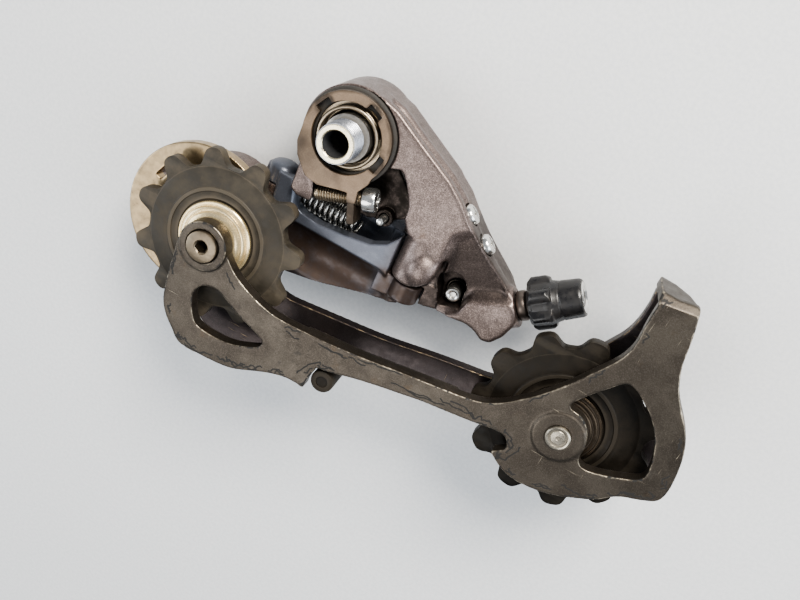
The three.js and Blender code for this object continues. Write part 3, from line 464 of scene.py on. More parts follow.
def painted(name, base, base2, wear_col=(0.42, 0.39, 0.36), wear_lo=0.30, wear_hi=0.55, grime=(0.010, 0.009, 0.008), grime_amt=0.5,
            metallic=0.75, rough=0.40, speck=0.5, scratch=0.5, coat=0.0, bare=False, orange=0.25, stain=(0.09, 0.06, 0.035), stain_amt=0.0, chips=0.0, shade_and_grease=None, grain=9000, rimdirt=0.0):
    """Metallic paint or anodising with a fine sparkle, bright worn edges, dark grime in corners and hair scratches."""
    m = N(name)
    big = m.noise(95, 3, 0.55)
    mid = m.noise(420, 4, 0.6)
    fine = m.noise(2600, 2, 0.7)
    spark = m.voronoi(grain, out="Color")
    sp = m.sepxyz(spark)[0]
    col = m.mix(m.step(big, 0.35, 0.7), base, base2)
    bright = tuple(min(1, q * 1.9 + 0.02) for q in base)
    dark = tuple(q * 0.55 for q in base)
    col = m.mix(m.math("MULTIPLY", m.step(sp, 0.62, 1.0), speck), col, bright)
    col = m.mix(m.math("MULTIPLY", m.step(sp, 0.40, 0.0), speck * 0.7), col, dark)
    # scratches: two families of stretched noise
    s1 = m.noise(1.0, 2, 0.6, m.map((90, 2600, 2600), (0, 0, 0.5)))
    s2 = m.noise(1.0, 2, 0.6, m.map((2400, 110, 2400), (0, 0, 0.25)))
    gate = m.step(m.noise(140, 2, 0.5, m.map((1, 1, 1), loc=(3.1, 1.7, 0.4))), 0.48, 0.66)
    sc = m.math("MULTIPLY", m.math("MAXIMUM", m.step(s1, 0.68, 0.74), m.step(s2, 0.69, 0.75)), m.math("MULTIPLY", gate, scratch))
    # edge wear
    cv = m.attr("convex")
    w = m.math("ADD", cv, m.math("MULTIPLY", m.math("SUBTRACT", mid, 0.5), 0.55))
    w = m.math("ADD", w, m.math("MULTIPLY", m.math("SUBTRACT", big, 0.5), 0.35))
    wear = m.step(w, wear_lo, wear_hi)
    if bare:
        wear = m.math("MAXIMUM", wear, m.math("MULTIPLY", m.attr("bare"), m.step(m.math("ADD", mid, m.math("MULTIPLY", fine, 0.35)), 0.42, 0.62, 0.55, 1.0)))
    wear = m.math("MAXIMUM", wear, m.math("MULTIPLY", sc, 0.8))
    hl = m.attr("hollow")
    g = m.step(m.math("ADD", hl, m.math("MULTIPLY", m.math("SUBTRACT", m.noise(260, 4, 0.65, m.map((1, 1, 1), loc=(0.7, 0.3, 0.9))), 0.5), 0.6)), 0.22, 0.5)
    patch = m.step(m.noise(160, 5, 0.7, m.map((1, 1, 1), loc=(1.3, 5.3, 2.9))), 0.60, 0.74)
    g = m.math("MULTIPLY", m.math("MAXIMUM", g, m.math("MULTIPLY", patch, 0.45)), grime_amt)
    if stain_amt:
        st = m.step(m.noise(120, 3, 0.6, m.map((1, 1, 1), loc=(8.3, 2.3, 4.9))), 0.62, 0.78)
        col = m.mix(m.math("MULTIPLY", st, stain_amt), col, stain)
    # Painted shade: an attribute mask darkens the colour towards the given colour where shade falls; on the stopper
    # plate the same mask also carries grease.
    if shade_and_grease:
        ta = m.math("MULTIPLY", m.attr("shade_and_grease"), m.step(mid, 0.25, 0.6, 0.78, 1.0))
        col = m.mix(ta, col, shade_and_grease)
    wc = m.mix(m.step(mid, 0.35, 0.7), tuple(q * 0.72 for q in wear_col), wear_col)
    col = m.mix(wear, col, wc)
    if chips:
        wob = m.t.nodes.new("ShaderNodeVectorMath"); wob.operation = "MULTIPLY_ADD"
        nz = m.t.nodes.new("ShaderNodeTexNoise"); nz.inputs["Scale"].default_value = 380; m.link(m.co, nz.inputs["Vector"])
        m.link(nz.outputs[1], wob.inputs[0]); wob.inputs[1].default_value = (0.0045, 0.0045, 0.0045); m.link(m.co, wob.inputs[2])
        vo = m.voronoi(210, vec=wob.outputs[0], feature="DISTANCE_TO_EDGE")
        line = m.step(vo, 0.075, 0.035)
        near = m.step(m.math("ADD", m.attr("rim"), m.math("MULTIPLY", m.math("SUBTRACT", m.noise(75, 3, 0.6, m.map((1, 1, 1), loc=(4.1, 0.2, 7.7))), 0.5), 1.6)), 0.78, 0.92)
        chip = m.math("MULTIPLY", m.math("MULTIPLY", line, near), chips)
        g = m.math("MAXIMUM", g, chip)
    if chips:
        crack = m.attr("crack")
        g = m.math("MAXIMUM", g, m.math("MULTIPLY", m.step(m.math("SUBTRACT", crack, m.math("MULTIPLY", mid, 0.35)), 0.12, 0.40), 0.95))
    if rimdirt:
        rd = m.step(m.math("ADD", m.attr("rim"), m.math("MULTIPLY", m.math("SUBTRACT", m.noise(240, 4, 0.65, m.map((1, 1, 1), loc=(6.1, 3.2, 1.7))), 0.5), 2.2)), 0.80, 1.20)
        g = m.math("MAXIMUM", g, m.math("MULTIPLY", rd, rimdirt))
    col = m.mix(g, col, grime)
    r = m.mixf(m.step(mid, 0.3, 0.75), rough - 0.05, rough + 0.08)
    r = m.mixf(wear, r, 0.30)
    r = m.mixf(g, r, 0.72)
    met = m.mixf(wear, metallic, 0.95)
    met = m.mixf(g, met, 0.05)
    h = m.math("ADD", m.math("MULTIPLY", fine, orange), m.math("MULTIPLY", sc, -0.8))
    h = m.math("ADD", h, m.math("MULTIPLY", wear, -0.25))
    h = m.math("ADD", h, m.math("MULTIPLY", g, 0.3))
    m.set(Base_Color=col, Roughness=r, Metallic=met, Normal=m.bump(h, 0.45, 0.00006), Coat_Weight=coat, Coat_Roughness=0.2)
    return m.mat


def steel(name, base=(0.46, 0.45, 0.43), rough=0.28, grime=(0.03, 0.024, 0.018), amt=0.5, tint=None, mark=1.0, lo=0.5, shine=0.96, axis_scale=(2600, 2600, 2600)):
    """Machined or plated steel: fine turning marks, darker film and spots of dirt."""
    m = N(name)
    mid = m.noise(520, 4, 0.65)
    big = m.noise(170, 3, 0.5, m.map((1, 1, 1), loc=(2.0, 0.4, 6.0)))
    fine = m.noise(1.0, 3, 0.7, m.map(axis_scale))
    col = m.mix(m.step(mid, 0.3, 0.75), tuple(q * 0.74 for q in base), base)
    if tint:
        col = m.mix(m.step(big, 0.38, 0.62), col, tint)
    hl = m.attr("hollow")
    g = m.step(m.math("ADD", m.math("MULTIPLY", hl, 0.8), m.math("MULTIPLY", m.math("SUBTRACT", mid, 0.5), 1.0)), lo - 0.32, lo + 0.02)
    g = m.math("MAXIMUM", m.math("MULTIPLY", g, 0.9), m.step(big, 0.60, 0.78))
    g = m.math("MULTIPLY", g, amt)
    col = m.mix(g, col, grime)
    r = m.mixf(m.step(fine, 0.3, 0.8), rough - 0.06, rough + 0.10)
    r = m.mixf(g, r, 0.6)
    met = m.mixf(g, shine, 0.25)
    m.set(Base_Color=col, Roughness=r, Metallic=met, Normal=m.bump(m.math("ADD", fine, m.math("MULTIPLY", g, 0.8)), 0.22 * mark, 0.00005))
    return m.mat


def plastic(name, base, dust=(0.075, 0.062, 0.050), rough=0.5, dust_amt=0.5, edge=(0.10, 0.085, 0.07), edge_amt=0.6, spec=0.45, swirl=None):
    """Moulded plastic with greasy film, dust and paler rubbed edges."""
    m = N(name)
    mid = m.noise(330, 5, 0.65)
    big = m.noise(85, 3, 0.6)
    fine = m.noise(3600, 2, 0.6)
    col = m.mix(m.step(big, 0.3, 0.75), tuple(q * 0.75 for q in base), tuple(q * 1.25 for q in base))
    d = m.math("MULTIPLY", m.step(m.math("ADD", mid, m.math("MULTIPLY", big, 0.5)), 0.62, 0.98), dust_amt)
    col = m.mix(d, col, dust)
    cv = m.attr("convex")
    e = m.math("MULTIPLY", m.step(m.math("ADD", cv, m.math("MULTIPLY", m.math("SUBTRACT", mid, 0.5), 0.5)), 0.30, 0.70), edge_amt)
    col = m.mix(e, col, edge)
    s1 = m.noise(1.0, 2, 0.6, m.map((120, 3000, 3000), (0, 0, 0.9)))
    s2 = m.noise(1.0, 2, 0.6, m.map((2800, 150, 2800), (0, 0, 0.4)))
    sc = m.math("MAXIMUM", m.step(s1, 0.70, 0.76), m.step(s2, 0.70, 0.76))
    col = m.mix(m.math("MULTIPLY", sc, 0.25), col, dust)
    r = m.mixf(m.step(mid, 0.3, 0.75), rough - 0.10, rough + 0.12)
    r = m.mixf(d, r, 0.8)
    h = m.math("ADD", m.math("MULTIPLY", fine, 0.4), m.math("ADD", m.math("MULTIPLY", mid, 0.5), m.math("MULTIPLY", sc, -0.6)))
    m.set(Base_Color=col, Roughness=r, Metallic=0.0, Normal=m.bump(h, 0.35, 0.00006), Specular_IOR_Level=spec)
    return m.mat


M_PLATE = painted("anodised_plate", (0.056, 0.047, 0.038), (0.086, 0.074, 0.060), wear_col=(0.46, 0.40, 0.31), wear_lo=0.28, wear_hi=0.58, grime_amt=0.95, rough=0.40, speck=0.5, scratch=1.0, stain_amt=0.5, chips=1.0, metallic=0.8, grain=6500, rimdirt=0.35)
M_OUTER = painted("anodised_plate_outer", (0.038, 0.031, 0.031), (0.058, 0.046, 0.044), wear_col=(0.44, 0.335, 0.205), wear_lo=0.36, wear_hi=0.62, grime_amt=0.45, rough=0.38, speck=0.3, scratch=0.9, bare=True, stain=(0.13, 0.08, 0.05), stain_amt=0.8, grain=6500)
# Knuckle, link and stopper below take a second dark colour for an attribute mask: on the knuckle and the link it is
# painted shade, on the stopper painted shade together with grease.
M_KNUCKLE = painted("knuckle_paint", (0.138, 0.108, 0.098), (0.172, 0.138, 0.126), wear_col=(0.34, 0.30, 0.26), wear_lo=0.55, wear_hi=0.95, grime_amt=0.9, rough=0.40, speck=1.0, scratch=0.25, metallic=0.85, stain=(0.07, 0.038, 0.02), stain_amt=0.5, grain=6000, shade_and_grease=(0.014, 0.011, 0.009))
M_LINK = painted("link_paint", (0.094, 0.102, 0.124), (0.116, 0.124, 0.148), wear_col=(0.26, 0.26, 0.27), wear_lo=0.65, wear_hi=1.0, grime=(0.016, 0.013, 0.011), grime_amt=0.6, rough=0.36, speck=0.2, scratch=0.25, metallic=0.55, shade_and_grease=(0.050, 0.034, 0.027), grain=7000)
M_STOPPER = painted("stopper_finish", (0.200, 0.145, 0.100), (0.145, 0.105, 0.075), wear_col=(0.42, 0.35, 0.28), wear_lo=0.55, wear_hi=0.95, grime=(0.012, 0.009, 0.007), grime_amt=1.0, rough=0.44, speck=0.25, scratch=0.6, metallic=0.6, chips=0.7, rimdirt=1.0, shade_and_grease=(0.026, 0.020, 0.015))
M_STEEL = steel("machined_steel", (0.42, 0.40, 0.37), 0.34, amt=0.7)
M_SPRING = steel("spring_steel", (0.62, 0.60, 0.56), 0.28, amt=0.45, grime=(0.035, 0.027, 0.020))
M_BRIGHT = steel("bright_plate", (0.78, 0.77, 0.74), 0.20, amt=0.30)
M_ENDRING = steel("end_ring", (0.88, 0.79, 0.58), 0.26, amt=0.12)
M_BRASSY = steel("dull_brass_plate", (0.42, 0.35, 0.26), 0.34, amt=0.6, grime=(0.03, 0.022, 0.014))
M_BOLT = steel("dull_bronze", (0.22, 0.18, 0.13), 0.38, amt=0.35, grime=(0.04, 0.03, 0.02))
M_CAP = steel("polished_cap", (0.72, 0.60, 0.38), 0.22, amt=0.20, tint=(0.66, 0.53, 0.31), grime=(0.05, 0.04, 0.025), lo=0.70, shine=0.70)
# A darker copy of the polished cap finish, used for the tension wheel's inner cap: painted shade.
M_CAP_SHADED = steel("polished_cap_shaded", (0.075, 0.058, 0.042), 0.36, amt=0.75, lo=0.42)
# Near-black grime set deep: the thread's roots are blackened, painted shade in the grooves.
M_THREAD = steel("thread_steel", (0.34, 0.35, 0.38), 0.30, amt=0.95, grime=(0.010, 0.009, 0.008), lo=0.62, shine=0.8)
M_PULLEY = plastic("pulley_plastic", (0.034, 0.029, 0.022), dust=(0.070, 0.058, 0.042), rough=0.50, dust_amt=0.40, edge=(0.105, 0.086, 0.062), edge_amt=0.45, spec=0.26)
# A darker copy of the pulley plastic for the tension wheel: painted shade. The plate spacer uses it too.
M_PULLEY_SHADED = plastic("pulley_plastic_shaded", (0.010, 0.0082, 0.0062), dust=(0.026, 0.020, 0.014), rough=0.46, dust_amt=0.30, edge=(0.050, 0.042, 0.032), edge_amt=0.40, spec=0.16)
M_BLACK = plastic("black_plastic", (0.010, 0.010, 0.011), dust=(0.045, 0.038, 0.032), rough=0.30, dust_amt=0.22, edge=(0.07, 0.06, 0.05), edge_amt=0.5)
M_SEAL = plastic("seal_rubber", (0.012, 0.012, 0.012), dust=(0.045, 0.038, 0.03), rough=0.6, dust_amt=0.4, edge_amt=0.2)
M_TBOLT = steel("bolt_end", (0.44, 0.40, 0.33), 0.32, amt=0.6)
M_STEM = steel("dark_metal", (0.15, 0.125, 0.11), 0.40, amt=0.6)

# ------------------------------------------------------------------ dimensions (mm)
PITCH, TEETH = 12.7, 11
R_PITCH = PITCH / (2 * math.sin(math.pi / TEETH)); R_TIP = 23.4; R_ROOT = 18.9
G = (-20.8, -38.2); T = (77.8, -38.2); ZP = 2.5; PH_G, PH_T = 176.24, 160.07
P0 = (-29.8, -38.7); IN0, IN1 = 7.2, 10.6; OU0, OU1 = -5.3, -2.1; R_DISC = 20.0
BI = (27.5, -7.2); PI_ = (-14.5, -10.4); BO = (23.5, -16.9); PO = (-18.5, -20.1)
R_PIN, R_PINHOLE = 2.0, 2.25
SCREW_A = (-3.0, -17.3, -4.0); SCREW_B = (12.4, -11.8, -4.0)
ADJ_0 = (53.9, -22.3, -9.0); ADJ_1 = (68.6, -10.8, -9.0)
LIM_N = unit((0.636, 0.772, 0)); LIM_1 = (35.22, -4.24, -8.0); LIM_2 = (42.07, -9.22, -8.0)
INNER = [(-27.8, -40.9), (-27.6, -38.4), (-26.8, -36.1), (-25.1, -34.1), (-22.9, -32.8), (-20.6, -32.4), (-18.5, -33.0), (-16.6, -34.4), (-15.1, -36.5), (-13.4, -38.7), (-11.2, -40.8), (-8.4, -42.6), (-5.2, -44.1), (-1.9, -45.3), (1.3, -46.1), (4.3, -46.4), (7.4, -46.4), (11.1, -46.2), (15.8, -46.0), (21.2, -45.5), (26.6, -44.9), (31.9, -44.1), (37.1, -43.3), (42.4, -42.6), (47.4, -41.9), (51.8, -41.3), (55.1, -40.7), (57.7, -40.0), (59.9, -39.0), (61.9, -37.7), (63.8, -36.1), (65.6, -34.3), (67.4, -32.5), (69.1, -30.6), (70.7, -28.6), (72.2, -26.6), (73.7, -24.5), (75.1, -22.3), (76.5, -20.0), (77.9, -17.8), (79.2, -15.6), (80.4, -13.3), (81.2, -10.9), (81.6, -8.6), (81.5, -6.1), (81.3, -3.7), (81.2, -1.3), (81.2, 0.8), (81.2, 2.6), (81.1, 4.4), (85.1, 5.0), (89.3, 5.5), (90.1, 3.6), (90.8, 1.3), (91.4, -1.1), (91.9, -3.4), (92.3, -5.6), (92.8, -7.7), (93.6, -9.9), (94.7, -12.3), (96.2, -14.8), (97.9, -17.0), (99.6, -19.0), (101.2, -21.0), (102.6, -23.2), (103.7, -25.5), (104.6, -28.1), (105.3, -30.9), (105.8, -33.7), (106.1, -36.2), (106.1, -38.3), (105.8, -40.0), (105.0, -41.2), (103.6, -42.1), (101.3, -43.2), (98.5, -44.3), (96.4, -45.6), (95.1, -46.8), (93.8, -48.2), (92.1, -49.4), (89.7, -50.7), (86.9, -52.1), (83.9, -53.3), (81.2, -54.1), (78.6, -54.6), (76.0, -54.8), (73.5, -54.7), (71.3, -54.2), (69.2, -53.3), (67.4, -52.1), (65.9, -50.8), (67.2, -49.5), (68.5, -48.2), (68.0, -46.5), (66.9, -45.3), (65.1, -44.9), (62.7, -45.1), (60.0, -45.7), (56.9, -46.2), (53.2, -46.7), (49.2, -47.2), (44.6, -47.8), (39.5, -48.8), (34.3, -49.8), (29.3, -50.9), (25.1, -52.0), (22.1, -52.9), (19.7, -53.5), (17.7, -53.9), (17.1, -56.1), (16.6, -58.4), (16.4, -61.0), (14.4, -60.8), (12.4, -60.8), (10.3, -61.1), (7.8, -61.8), (5.0, -62.9), (2.2, -64.2), (-0.3, -65.4), (-2.5, -66.3), (-4.5, -66.8), (-6.5, -67.1), (-9.0, -67.3), (-11.9, -67.4), (-14.8, -67.6), (-17.1, -67.5), (-18.8, -67.1), (-20.2, -66.1), (-21.5, -64.7), (-23.0, -63.2), (-24.4, -61.6), (-25.7, -59.6), (-26.6, -57.3), (-27.1, -54.4), (-27.4, -50.9), (-27.6, -47.1), (-27.7, -43.7)]
WIN1 = [(-19.0, -50.4), (-18.1, -49.0), (-16.6, -48.1), (-14.8, -47.6), (-12.8, -47.9), (-10.9, -48.8), (-8.6, -50.0), (-5.5, -51.5), (-2.2, -52.7), (0.3, -53.7), (1.8, -54.5), (2.2, -55.4), (1.9, -56.3), (0.7, -57.3), (-1.8, -58.5), (-5.1, -59.8), (-8.3, -60.3), (-11.3, -60.4), (-14.0, -60.2), (-15.9, -59.6), (-17.1, -58.4), (-18.2, -56.4), (-19.0, -54.1), (-19.4, -52.1)]
WIN2 = [(76.6, -28.5), (77.6, -26.8), (79.0, -24.7), (80.5, -22.7), (82.0, -20.8), (83.3, -19.1), (84.4, -18.0), (85.5, -17.7), (86.9, -18.0), (88.6, -18.9), (90.6, -20.3), (92.7, -21.9), (94.5, -23.8), (96.1, -25.8), (97.5, -28.2), (98.7, -31.1), (99.5, -33.8), (99.8, -35.8), (99.6, -37.3), (98.7, -38.4), (97.2, -39.3), (95.2, -40.2), (93.1, -41.1), (90.9, -41.9), (88.8, -42.5), (87.0, -42.7), (85.6, -42.2), (84.8, -41.1), (84.6, -39.7), (84.5, -37.6), (83.9, -35.2), (82.7, -32.9), (81.1, -31.3), (79.5, -30.5), (78.1, -30.3), (77.2, -30.1), (76.5, -29.6)]
OUTER = [(0.8, -47.0), (5, -46.8), (13.8, -45.9), (19.8, -45.3), (25.5, -44.7), (31, -43.9), (36.5, -42.9), (41.9, -41.9), (47.4, -41.0), (52.8, -40.2), (55.6, -39.8), (58.2, -39.2), (60.6, -38.3), (62.6, -37.0), (66.2, -33.7), (69.6, -29.9), (72.6, -25.8), (75.6, -21.1), (78.3, -15.9), (79.9, -12.9), (80.9, -9.9), (81.4, -6.6), (81.5, -2.4), (81.4, 1.6), (85.0, 2.2), (88.6, 2.4), (89.8, 0.6), (91.0, -3.6), (91.9, -7.9), (93.8, -12.7), (95.3, -15.2), (98.7, -19.4), (101.6, -23.6), (103.6, -28.3), (104.8, -33.9), (105.1, -36.4), (105.0, -38.3), (104.1, -40.7), (98.0, -43.6), (93.2, -47.5), (86.4, -51.2), (80.9, -53.2), (76.0, -53.8), (71.6, -53.2), (67.9, -51.2), (64.6, -47.6), (60.8, -46.6), (53.2, -47.4), (44.6, -48.8), (34.3, -50.6), (25.1, -53.0), (17.0, -56.2), (12, -59.4), (4, -63.0), (-3, -65.6), (-9, -66.8), (-15, -67.0), (-19, -66.0), (-23, -62.4), (-26, -59.0), (-29.8, -58.5), (-29.8, -38.7), (-10.4, -37.0), (-8.6, -41.6), (-4.6, -45.6)]
K_TOP = [(0.5, 12.4), (4.5, 12.2), (8.8, 11.0), (14.7, 7.8), (21.3, 4.4), (27, 1.5), (31.5, -1.8), (35, -5.2), (39.3, -9), (43.5, -12.2), (47.5, -15), (50.5, -17), (53.6, -20), (56.6, -24.6), (55.4, -28.8), (53.2, -32), (50.8, -32.6), (48.2, -31), (45.5, -30.4), (41, -31), (37.5, -31.6), (34.2, -30.6), (33.2, -28.4), (32.4, -27.6), (27.5, -27.6), (27.5, -16), (22.8, -15.9), (20.4, -12.4), (20.2, -9.5), (19.2, -7.2), (17.4, -4.4), (15.2, -1.6), (12.9, -3.2), (9, -8.6), (0, 0)]
K_LOW = [(27, 0.6), (31.5, -2.4), (35, -5.8), (39.3, -9.6), (43.5, -12.8), (47.5, -15.6), (50.5, -17.8), (53.3, -20.8), (55.6, -24.8), (54.4, -28.4), (52.4, -31.2), (48.2, -30.6), (41, -30.6), (36, -31.2), (33, -31.2), (33, -28.4), (28.2, -28.4), (28.2, -15.6), (24, -12), (20.8, -9), (15, -1.2)]
sd = unit((SCREW_B[0] - SCREW_A[0], SCREW_B[1] - SCREW_A[1], 0)); sn = (sd[1], -sd[0], 0)
adir = unit((ADJ_1[0] - ADJ_0[0], ADJ_1[1] - ADJ_0[1], 0))
ADJ_L = math.dist(ADJ_0, ADJ_1)

# ------------------------------------------------------------------ hanger side
bolt_low = sub(lathe([(0, -22.5), (6.2, -22.5), (7.1, -22.2), (7.4, -21.6), (7.4, -19.9), (7.1, -19.6), (5.9, -19.6), (5.9, -0.2), (4.5, 0.2), (4.4, 1.4), (0, 1.4)], n=96), prism(circle(0, 0, 3.0, 6), -24, -16), cylZ(0, 0, -9, 2, 3.25))
thread = sub(threaded(5.0, 1.0, 0.6, 0.9, 7.55, (0, 0, 0), (0, 0, 1), n=120, step=0.06, fade=0.4), cylZ(0, 0, -1, 9, 3.25, 96))
bolt_tip = lathe([(3.25, 6.9), (4.75, 6.9), (4.78, 7.35), (4.45, 7.85), (3.55, 7.85), (3.25, 7.55)], n=120)
show("bolt_shank", bolt_low, "hanger_mount", M_STEEL, ["mounting_bolt"])
tob = show("bolt_thread", thread, "hanger_mount", M_THREAD, sharp=60)
# Painted shade: every point a little below the crest radius is marked hollow, so the thread material blackens the
# thread's roots.
tq = coords(tob.data) * 1000
tob.data.attributes["hollow"].data.foreach_set("value", np.clip((4.82 - np.hypot(tq[:, 0], tq[:, 1])) / 0.10, 0, 1).astype(np.float32))
show("bolt_end_ring", bolt_tip, "hanger_mount", M_ENDRING)

tabC = (6.6, -14.0, -4.0)
plate = add(cylZ(0, 0, -1.8, 0, 11.4, 160), prism([(-11.3, -1.5), (-11.2, -6.0), (-9.9, -9.3), (-6.3, -13.2), (-2.6, -14.0), (3.0, -12.6), (5.2, -12.2), (6.0, -14.6), (8.1, -13.9), (7.6, -10.8), (9.3, -8.0), (9.8, -4.5), (0, 0)], -1.8, 0),
            obox((tabC[0] + sn[0] * 2.0, tabC[1] + sn[1] * 2.0, -4.1), sd, sn, (0.95, 4.1, 3.0)))
plate = sub(plate, cylZ(0, 0, -3, 1, 8.9, 160), rod(SCREW_A, sd, 4, 16, 2.2), rod(SCREW_A, sd, 12.4, 19, 3.5))
for a_, w_ in ((148, 1.9), (65, 2.0), (-15, 2.2)):
    t_ = math.radians(a_)
    plate = sub(plate, obox((8.6 * math.cos(t_), 8.6 * math.sin(t_), -1), (math.cos(t_), math.sin(t_), 0), (-math.sin(t_), math.cos(t_), 0), (1.7, w_, 3)))


def stopper_shade_and_grease(q):
    """Darkening on the stopper plate: painted shade on the bent tab and on every face below the top face, darker on the
    left lug, and grease round the outer rim and the notches.
    """
    r_ = np.hypot(q[:, 0], q[:, 1])
    d_ = np.maximum(np.clip((-13.2 - q[:, 1]) / 1.0, 0, 1) * 0.85, np.clip((-5.5 - q[:, 0]) / 4, 0, 1) * np.clip((-1 - q[:, 1]) / 4, 0, 1) * 0.75)
    # painted shade on every face below the top face, which holds the side walls and the bent tab
    d_ = np.maximum(d_, np.clip((-0.25 - q[:, 2]) / 0.3, 0, 1) * 0.9)
    w_ = np.sin(3 * np.arctan2(q[:, 1], q[:, 0]) + 0.6) + 0.6 * np.sin(11 * np.arctan2(q[:, 1], q[:, 0]))
    d_ = np.maximum(d_, np.clip((r_ - 10.7 + 0.25 * w_) / 0.5, 0, 1) * np.clip((q[:, 1] + 1) / 3, 0, 1) * 0.6)
    for g_ in (148, 65, -15):
        u_ = np.hypot(q[:, 0] - 9.4 * math.cos(math.radians(g_)), q[:, 1] - 9.4 * math.sin(math.radians(g_)))
        d_ = np.maximum(d_, np.clip((3.0 + 0.35 * w_ - u_) / 0.9, 0, 1) * 0.85)
    return d_


plate = forge(plate, 0.13, 4)
q = coords(plate)
attribute(plate, "shade_and_grease", stopper_shade_and_grease(q))
show("stopper_ring", plate, "hanger_mount", M_STOPPER, ["stopper_plate"], dense=True)
wire = helix((0, 0), 7.3, -2.6, -0.55, 1.6, 72, 0.35)
la = 0.35 + 2 * math.pi * 1.6
wire += [(7.3 * math.cos(la) + 0.55 * i * math.cos(la + 1.9), 7.3 * math.sin(la) + 0.55 * i * math.sin(la + 1.9), -0.55 + 0.10 * i) for i in range(1, 5)]
show("snap_wire", tube(wire, 0.52, 16), "hanger_mount", M_BRASSY, ["snap_ring"])
show("recess_washer", lathe([(6.3, -4.0), (9.9, -4.0), (9.9, -3.75), (9.6, -3.55), (6.6, -3.55), (6.3, -3.75)], n=96), "hanger_mount", M_BRASSY)

L = math.dist(SCREW_A, SCREW_B)
cross = lambda p, d, e, r, w, dep: [obox(p, d, (0, 0, 1), (dep, r, w)), obox(p, d, e, (dep, r, w))]
head = lathe([(0, L - 3.6), (2.9, L - 3.6), (3.1, L - 3.3), (3.1, L - 0.7), (2.85, L - 0.15), (2.4, L), (0, L)], SCREW_A, sd, 72)
e = (SCREW_A[0] + sd[0] * L, SCREW_A[1] + sd[1] * L, -4)
head = sub(head, *cross(e, sd, sn, 1.9, 0.38, 1.4), lathe([(0, L + 1), (1.5, L + 1), (0.6, L - 1.0), (0, L - 1.0)], SCREW_A, sd, 24))
show("tension_screw_shank", join(threaded(2.0, 0.7, 0.42, 0.5, L - 3.5, SCREW_A, sd, n=64, step=0.05, fade=0.4), rod(SCREW_A, sd, 0.0, 1.0, 1.5)), "tension_screw_b", M_BRASSY, ["b_tension_screw"], sharp=60)
show("tension_screw_head", bevelled(head, 0.12, 2), "tension_screw_b", M_BRIGHT)

# ------------------------------------------------------------------ upper knuckle
k = add(cylZ(0, 0, -19, -3.4, 12.5, 160), prism(K_TOP, -9.6, -2.3), prism(K_LOW, -18.2, -9.0),
        prism([(0.5, 12.3), (8.8, 10.6), (14.7, 7.4), (27, 0.9), (20.8, -9), (15, -2), (9, -8.6), (0, 0)], -18.2, -9.0),
        rod(ADJ_0, adir, -10, 1.6, 5.4, 96), box(23.5, 30, -20.0, -15.9, -20.9, -12.9), box(23.5, 36, -33.0, -28.6, -20.9, -12.9))
mid_f = (43.0, -17.0)
for i in range(7):
    f_ = 1.10 - 0.055 * i
    ring_ = prism([(mid_f[0] + (a - mid_f[0]) * f_, mid_f[1] + (b - mid_f[1]) * f_) for a, b in [(31.4, -9.0), (35.6, -5.0), (39.6, -7.5), (44.8, -11.4), (50.0, -15.6), (53.4, -19.2), (48, -21.6), (43.4, -24.0), (42.4, -27.6), (38.6, -30.6), (35.4, -30.0), (34.2, -24), (33.4, -18.5)]], -13, 2)
    k = sub(k, both(ring_, obox((40.5, -14, 8.75 - 0.36 * i), (1, 0, -0.10), (0, 1, 0.15), (26, 22, 11.0))))
k = sub(k, prism([(41.2, -27.6), (42.0, -22.8), (46.6, -20.4), (52.4, -17.4), (60, -16), (60, -36), (36, -36), (36, -29.4)], -3.7, 0))
k = sub(k, box(21.5, BI[0] + 0.1, -29, -16, -12.6, 0))
# step along the shoulder between the face and the outer skin
k = sub(k, prism([(6.0, 12.6), (10.2, 10.9), (15.6, 8.1), (22.0, 4.9), (27.8, 1.9), (32.2, -1.2), (35.6, -4.6), (34.6, -5.6), (31.0, -2.3), (26.6, 0.5), (21.0, 3.4), (14.4, 6.7), (9.0, 9.5), (5.4, 11.0)], -7.6, -5.2))
k = add(k, cylY(BI[0], BI[1], -28, -16, 5.3, 96), both(ball((BI[0], -26.0, BI[1]), 5.3, 1, 0.6, 1), box(20, 34, -31, -25.5, -14, 0)), both(ball((29.6, -22.8, -5.6), 5.4, 1, 1.15, 0.95), box(20, 40, -30, -15, -12, 0.2)))
k = sub(k, prism([(33.4, -17.6), (33.5, -21.0), (32.8, -24.4), (30.6, -26.8), (28.0, -28.2), (27, -32), (37, -33), (36.6, -29), (34.6, -25.5), (34.9, -17.6)], -7.2, 1))
k = forge(k, 0.34, 34)
k = add(k, cylZ(0, 0, -18.8, -3.4, 12.5, 200), prism([(-9.3, -6), (-9.3, -19.4), (10.5, -19.4), (15.5, -17.5), (19.3, -15.4), (22, -12), (12, -3)], -13, -10.2),
        prism([(-9.3, -8), (-9.3, -18.8), (-7.2, -20.0), (-4.2, -19.9), (-2.8, -19.2), (-4.6, -14.2), (-4.6, -9)], -12.5, -2.6),
        cylY(BO[0], BO[1], -20.0, -15.9, 4.0), cylY(BO[0], BO[1], -33.0, -28.6, 4.0), cylY(BI[0], BI[1], -25.6, -16.2, 5.1, 96), ball((BI[0], -25.4, BI[1]), 5.1, 1, 0.55, 1), cylY(BI[0], BI[1], -28.1, -25, 3.4, 64), prism([(30.0, -26.5), (36, -26.5), (38.5, -31.4), (36.2, -32.0), (33.4, -32.7), (30.2, -33.0)], -14, -6.6), rod(ADJ_0, adir, -6, 1.6, 5.1, 96))
k = sub(k, cylZ(37.9, -23.6, -13, 0, 3.9, 96), obox((38.6, -26.0, -6), (0.3, -1, 0), (1, 0.3, 0), (3.0, 3.3, 7)))
k = add(k, cylZ(39.2, -26.4, -14, -12, 2.6))
k = sub(k, cylZ(0, 0, -16.6, 0, 10.2, 128), cylZ(0, 0, -23, 0, 6.25))
